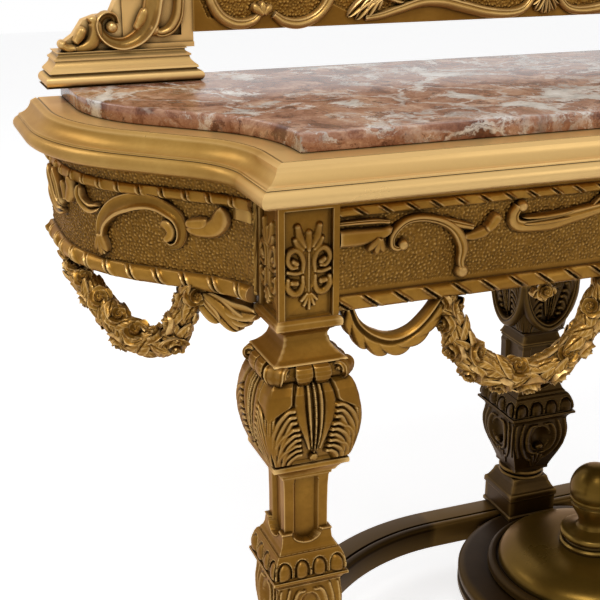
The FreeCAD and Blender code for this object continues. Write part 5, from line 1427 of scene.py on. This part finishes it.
def make_garlands():
    """Roses and leaves that hang under the frieze."""
    build = Build()
    rose_garland(
        build, [(-392, 716), (-380, 676), (-360, 634), (-328, 602), (-280, 586), (-228, 588), (-194, 608),
        (-172, 642), (-156, 680), (-146, 716)], [15, 19, 21, 22, 23, 22, 21, 20, 18, 15], on_front, 11)
    make_pair("roses_front", build, GILT, "rose_garland_front")
    build = Build()
    leaf_swag(
        build, [(-532, 716), (-522, 690), (-500, 668), (-470, 657), (-440, 664), (-416, 684), (-396, 712)],
        [18, 25, 31, 33, 30, 27, 22], on_front, 13)
    make_pair("swag_front", build, GILT, "leaf_swag_front")
    build = Build()
    leaf_swag(
        build, [(-132, 716), (-116, 688), (-88, 662), (-46, 648), (0, 644), (46, 648), (88, 662),
        (116, 688), (132, 716)], [16, 26, 34, 37, 36, 37, 34, 26, 16], on_front, 14, lobes=16, smooth=1)
    rosette(build, -ROSETTE_X)
    rosette(build, ROSETTE_X)
    make_piece("swag_centre", build, GILT, ["leaf_swag_centre"])
    build = Build()
    rose_garland(
        build, [(466, 716), (450, 702), (424, 690), (386, 674), (346, 648), (314, 630), (273, 622),
        (240, 638), (224, 666), (210, 700), (206, 714)], [15, 17, 19, 20, 21, 22, 22, 21, 20, 19, 18],
        on_side, 23)
    make_pair("roses", build, GILT, "rose_garland")
    build = Build()
    for path, wide, flutes in (
            ([(202, 714), (188, 694), (166, 671)], 24, 1), ([(192, 712), (166, 692), (136, 667)], 32, 2),
            ([(186, 708), (146, 694), (106, 698)], 26, 1), ([(176, 708), (144, 686), (120, 682)], 22, 1)):
        plume(build, path, [wide * 0.7, wide, wide * 1.05, wide * 0.9], 9, on_side, flutes, SWAG_DEPTH, 5)
    make_pair("swag", build, GILT, "leaf_swag")


# --- crest ---

PLINTH_LOW, PLINTH_HIGH = node_box("plinth_left")
STILE_LOW, STILE_HIGH = node_box("stile_left")
BRACKET_LOW, BRACKET_HIGH = node_box("bracket_left")
CREST_LOW, CREST_HIGH = node_box("crest_rail")
CAP_LOW, CAP_HIGH = node_box("crest_cap")
# The height of the wave along the crest, by distance from the middle.
CREST_LINE = [
    (0, 1052), (30, 1034), (74, 1017), (112, 1021), (150, 1030), (188, 1039), (224, 1040), (262, 1031),
    (296, 1022), (322, 1019), (350, 1030), (380, 1045), (394, 1032), (434, 1015), (470, 1030), (494, 1034),
    (528, 1018), (574, 1030), (590, 1068)]
CREST_SUNK = 1.5


def wall_block(build, low, high, steps):
    """A moulded block against the wall, from pairs of (inset, z)."""
    sweep(build, [
        [(low[0] + inset, high[1], z), (low[0] + inset, low[1] + inset, z),
         (high[0] - inset, low[1] + inset, z), (high[0] - inset, high[1], z)] for inset, z in steps])


def make_plinths():
    """The stepped blocks that stand on the marble at both ends of the crest."""
    foot, top = PLINTH_LOW[2], PLINTH_HIGH[2]
    steps = [(0.8, foot)]
    for turn in np.linspace(-1.2, 1.4, 9):
        steps.append((max(8 - 8 * math.cos(turn), 0), foot + 8 + 8 * math.sin(turn)))
    for inset, rise in (
            (7.5, 16.5), (9, 17), (9, 18.5), (6.5, 19.5), (7.5, 22.5), (12, 26), (16, 30), (17.5, 34),
            (17.5, 35.5), (15.5, 36), (15.5, 38.5), (18, 39.5), (22, 42), (23, 44), (23, 45.5), (20.5, 46)):
        steps.append((inset, foot + rise))
    steps.append((20.5, top))
    build = Build()
    wall_block(build, PLINTH_LOW, PLINTH_HIGH, steps)
    make_pair("plinth_moulding", build, GILT_SMOOTH, "plinth", sharp=30)


def make_stiles():
    """The post between bracket and rail: a sunk face with a stepped foot and a plain right edge."""
    (x0, y0, z0), (x1, y1, z1) = STILE_LOW, STILE_HIGH
    sunk, step_1, step_2, edge = 10, 7, 17, 18
    build = Build()
    box_shell(build, (x0, y0 + sunk, z0), (x1, y1, z1))
    box_shell(build, (x0, y0, z0), (x1, y0 + sunk, z0 + step_1))
    box_shell(build, (x0, y0 + 4, z0 + step_1), (x1, y0 + sunk, z0 + step_2))
    box_shell(build, (x1 - edge, y0 + 4, z0 + step_2), (x1, y0 + sunk, z1))
    make_pair("stile_post", build, GILT, "stile", weld=False)


def make_brackets():
    """The scrolled brackets outside the stiles, carved over a plain core."""
    (x0, y0, z0), (x1, y1, z1) = BRACKET_LOW, BRACKET_HIGH
    outline = [
        (x1 + 1, z0), (x0 + 10, z0), (x0 + 12, z0 + 10), (x0 + 30, z0 + 22), (x0 + 44, z0 + 42),
        (x0 + 62, z0 + 48), (x0 + 84, z0 + 50), (x1 - 8, z1 - 20), (x1 + 1, z1 - 14)]
    build = Build()
    sweep(build, [[(x, y, z) for x, z in outline] for y in (y0 + 10, y1)])
    scroll_bracket(build, facing_front(STILE_LOW[1]))
    # Painted light: the brackets take the brightened copy of the gilding.
    make_pair("bracket_scroll", build, GILT_CREST_LIT, "bracket")


def make_crest():
    """The pebbled rail with a plain wave along its foot, its carving, and the plain cap."""
    place = facing_front(CREST_LOW[1])
    sheet = frieze_sheet(CREST_LOW[0], CREST_HIGH[0], CREST_LOW[2], CREST_HIGH[2], 9)
    plain = sheet[..., 1] < np.interp(np.abs(sheet[..., 0]), *np.transpose(CREST_LINE))
    sheet[..., 2] = np.where(plain, 0, sheet[..., 2] - CREST_SUNK)
    build = Build()
    carved_board(build, sheet, place, CREST_LOW[2], CREST_HIGH[2], CREST_HIGH[1] - CREST_LOW[1])
    make_piece("crest_ground", build, GROUND, ["crest_rail"], sharp=180)
    build = Build()
    crest_carving(build, place)
    build.merge(build.mirror())
    # Painted light: the crest's carving takes the brightened copy of the gilding.
    make_piece("crest_scrolls", build, GILT_CREST_LIT, ["crest_carving"])
    foot, top = CAP_LOW[2], CAP_HIGH[2]
    build = Build()
    wall_block(build, CAP_LOW, CAP_HIGH, [
        (4, foot), (2, foot + 1), (2, foot + 4), (0.5, foot + 5), (0, foot + 8), (0.5, foot + 11),
        (3, top - 0.5), (6, top)])
    make_piece("crest_capping", build, GILT_SMOOTH, ["crest_cap"])


def scroll_bracket(build, place):
    """The bracket's carving: a rising leaf, then a volute and a C-scroll over the stile."""
    plume(
        build, [(-778, 992), (-762, 991), (-747, 998), (-740, 1013), (-742, 1029), (-751, 1034)],
        [11, 17, 20, 21, 18, 12], 10, place, 0, base=-9, thick=10, lift=5, tip=0.2)
    plume(build, [(-772, 999), (-764, 1009), (-757, 1022)], [9, 14, 12], 14, place, 0, base=-9, thick=10)
    curl = [(-770, 993), (-782, 992), (-790, 998), (-785, 1003)]
    plume(build, curl, [9, 12, 11, 9], 14, place, 0, base=-9, thick=10)
    ribbon(
        build, [(-650, 1074), (-654, 1056), (-658, 1038), (-664, 1022), (-676, 1007), (-692, 998),
        (-708, 996), (-724, 1002), (-734, 1014), (-735, 1028), (-726, 1037), (-715, 1035), (-711, 1025)],
        [26, 27, 27, 26, 24, 21, 18, 16, 14, 13, 12, 11, 9],
        [12, 14, 15, 16, 16, 17, 17, 17, 16, 16, 15, 14, 13], place, SHELF, base=-8, count=120)
    boss(build, (-717, 1020), 9, 13, place, base=-8)
    plume(build, [(-684, 1016), (-674, 1030), (-668, 1046)], [8, 14, 11], 9, place, 0, base=-2)
    ribbon(
        build, [(-616, 1074), (-616, 1052), (-620, 1030), (-631, 1014), (-646, 1009), (-656, 1014)],
        [13, 15, 16, 16, 14, 11], [11, 12, 13, 13, 12, 11], place, ROUND, base=-7, eye=9)


def crest_carving(build, place):
    """Left half of the rail's carving: border scrolls, leaf clusters, a long leaf, a palmette."""
    ribbon(
        build, [(-572, 1070), (-568, 1050), (-556, 1031), (-538, 1020), (-520, 1018), (-503, 1023),
        (-492, 1034)], [15, 16, 17, 17, 16, 14, 11], [8, 10, 10, 10, 10, 10, 8], place, ROUND, count=70)
    for u, v in ((-506, 1046), (-491, 1050), (-476, 1044)):
        plume(build, [(-489, 1030), ((u - 490) / 2, 1037), (u, v)], [9, 14, 14], 12, place, 0, tip=0.5)
    ribbon(
        build, [(-472, 1030), (-456, 1019), (-434, 1015), (-412, 1020), (-394, 1032), (-382, 1050),
        (-380, 1070)], [12, 16, 17, 17, 17, 17, 15], [8, 10, 10, 10, 10, 10, 8], place, ROUND, count=70)
    for u, v in ((-338, 1017), (-320, 1020), (-304, 1030), (-352, 1022)):
        path = [(-290, 1056), ((u - 290) / 2 - 4, (v + 1056) / 2 + 4), (u, v)]
        plume(build, path, [11, 18, 16], 11, place, 1, tip=0.4)
    plume(build, [(-304, 1062), (-276, 1050), (-256, 1042)], [11, 17, 14], 10, place, 1)
    ribbon(
        build, [(-322, 1019), (-296, 1022), (-262, 1031), (-224, 1040), (-188, 1039), (-150, 1030),
        (-112, 1021), (-74, 1017), (-46, 1021), (-30, 1034), (-24, 1052), (-24, 1070)],
        [10, 12, 14, 16, 18, 19, 19, 18, 16, 14, 12, 11], [8, 9, 10, 10, 10, 10, 10, 10, 10, 10, 9, 8],
        place, ROUND, count=130)
    plume(build, [(-236, 1044), (-252, 1056), (-270, 1068)], [10, 17, 15], 9, place, 1)
    plume(build, [(-150, 1034), (-172, 1052), (-198, 1064)], [10, 18, 16], 9, place, 1)
    fan(build, (-1, 1052), (38, 38, 36, 30), (172, 150, 128, 104), 12, 9, lambda p: place(p * (-1, 1, 1)))
    boss(build, (-4, 1053), 7, 11, place)


# --- floor, light and camera ---

def camera_ray_white(tree, made, socket, plain):
    """White to the camera, in mirrors and through glass; plain to everything else."""
    path = node(tree, "ShaderNodeLightPath").outputs
    seen = node(
        tree, "ShaderNodeMath", {0: path["Is Camera Ray"], 1: path["Is Glossy Ray"]}, operation="MAXIMUM")
    either = node(
        tree, "ShaderNodeMath", {0: seen.outputs[0], 1: path["Is Transmission Ray"]}, operation="MAXIMUM")
    plug(tree, made, {socket: mix(tree, either.outputs[0], plain, 1)})


def make_world():
    """A soft grey world that the camera sees as white."""
    scene = bpy.context.scene
    scene.view_settings.view_transform = "Standard"
    world = bpy.data.worlds.new("studio")
    scene.world = world
    world.use_nodes = True
    back = world.node_tree.nodes["Background"]
    camera_ray_white(world.node_tree, back, "Color", (0.17, 0.17, 0.175))
    back.inputs["Strength"].default_value = 1


def make_floor():
    """A white floor that catches the shadows."""
    data = bpy.data.meshes.new("studio_floor")
    data.from_pydata([(9 * i, 9 * j, 0) for i, j in SQUARE], [], [(0, 1, 2, 3)])
    floor = bpy.data.objects.new("studio_floor", data)
    bpy.context.scene.collection.objects.link(floor)
    material, tree, shader = new_material("pale_floor")
    plug(tree, shader, {"Base Color": rgba(0.88), "Roughness": 0.95, "Emission Strength": 0.74})
    camera_ray_white(tree, shader, "Emission Color", 0)
    data.materials.append(material)


def make_lights():
    """A key lamp high on the front left, a weak fill on the right and a rim lamp behind on the left."""
    for name, place, aim, size, power in (
            ("key", (-1.2, -1.45, 3.4), (0, 0, 0.8), 1.1, 56),
            ("fill", (2.4, -3.2, 2.4), (0, 0, 0.7), 2, 16),
            ("rim", (-2.6, 1.6, 2.8), (0, 0, 0.7), 1.4, 22)):
        lamp = bpy.data.lights.new("lamp_" + name, "AREA")
        lamp.energy = power
        lamp.size = size
        obj = bpy.data.objects.new("lamp_" + name, lamp)
        obj.location = place
        obj.rotation_euler = (Vector(aim) - Vector(place)).to_track_quat("-Z", "Y").to_euler()
        bpy.context.scene.collection.objects.link(obj)


def make_camera():
    view = bpy.data.cameras.new("photo_camera")
    view.sensor_width = 36
    view.lens = 69.1
    camera = bpy.data.objects.new("photo_camera", view)
    camera.location = (-1.0648, -1.4413, 1.212)
    camera.rotation_euler = (math.radians(90 - 19.8), 0, math.radians(-20.8))
    bpy.context.scene.collection.objects.link(camera)
    bpy.context.scene.camera = camera


def dress_plain_nodes():
    """Materials of the plain boards, blocks, dowels and screws."""
    for name in (
            "top_board", "rear_batten", "bearer_left", "bearer_right", "cross_rail_left",
            "cross_rail_right", "rear_block_left", "rear_block_right", "stretcher_dowels", "apron_back"):
        set_material(name, WOOD)
    set_material("board_screws", STEEL)


def set_material(name, material):
    slots = bpy.data.objects[name].data.materials
    for i in range(len(slots)):
        slots[i] = material
    if not slots:
        slots.append(material)


make_surround()
make_marble()
make_friezes()
make_ropes()
make_frieze_carving()
make_legs()
make_feet()
make_stretcher()
make_platform()
make_garlands()
make_plinths()
make_stiles()
make_brackets()
make_crest()
dress_plain_nodes()
make_world()
make_floor()
make_lights()
make_camera()
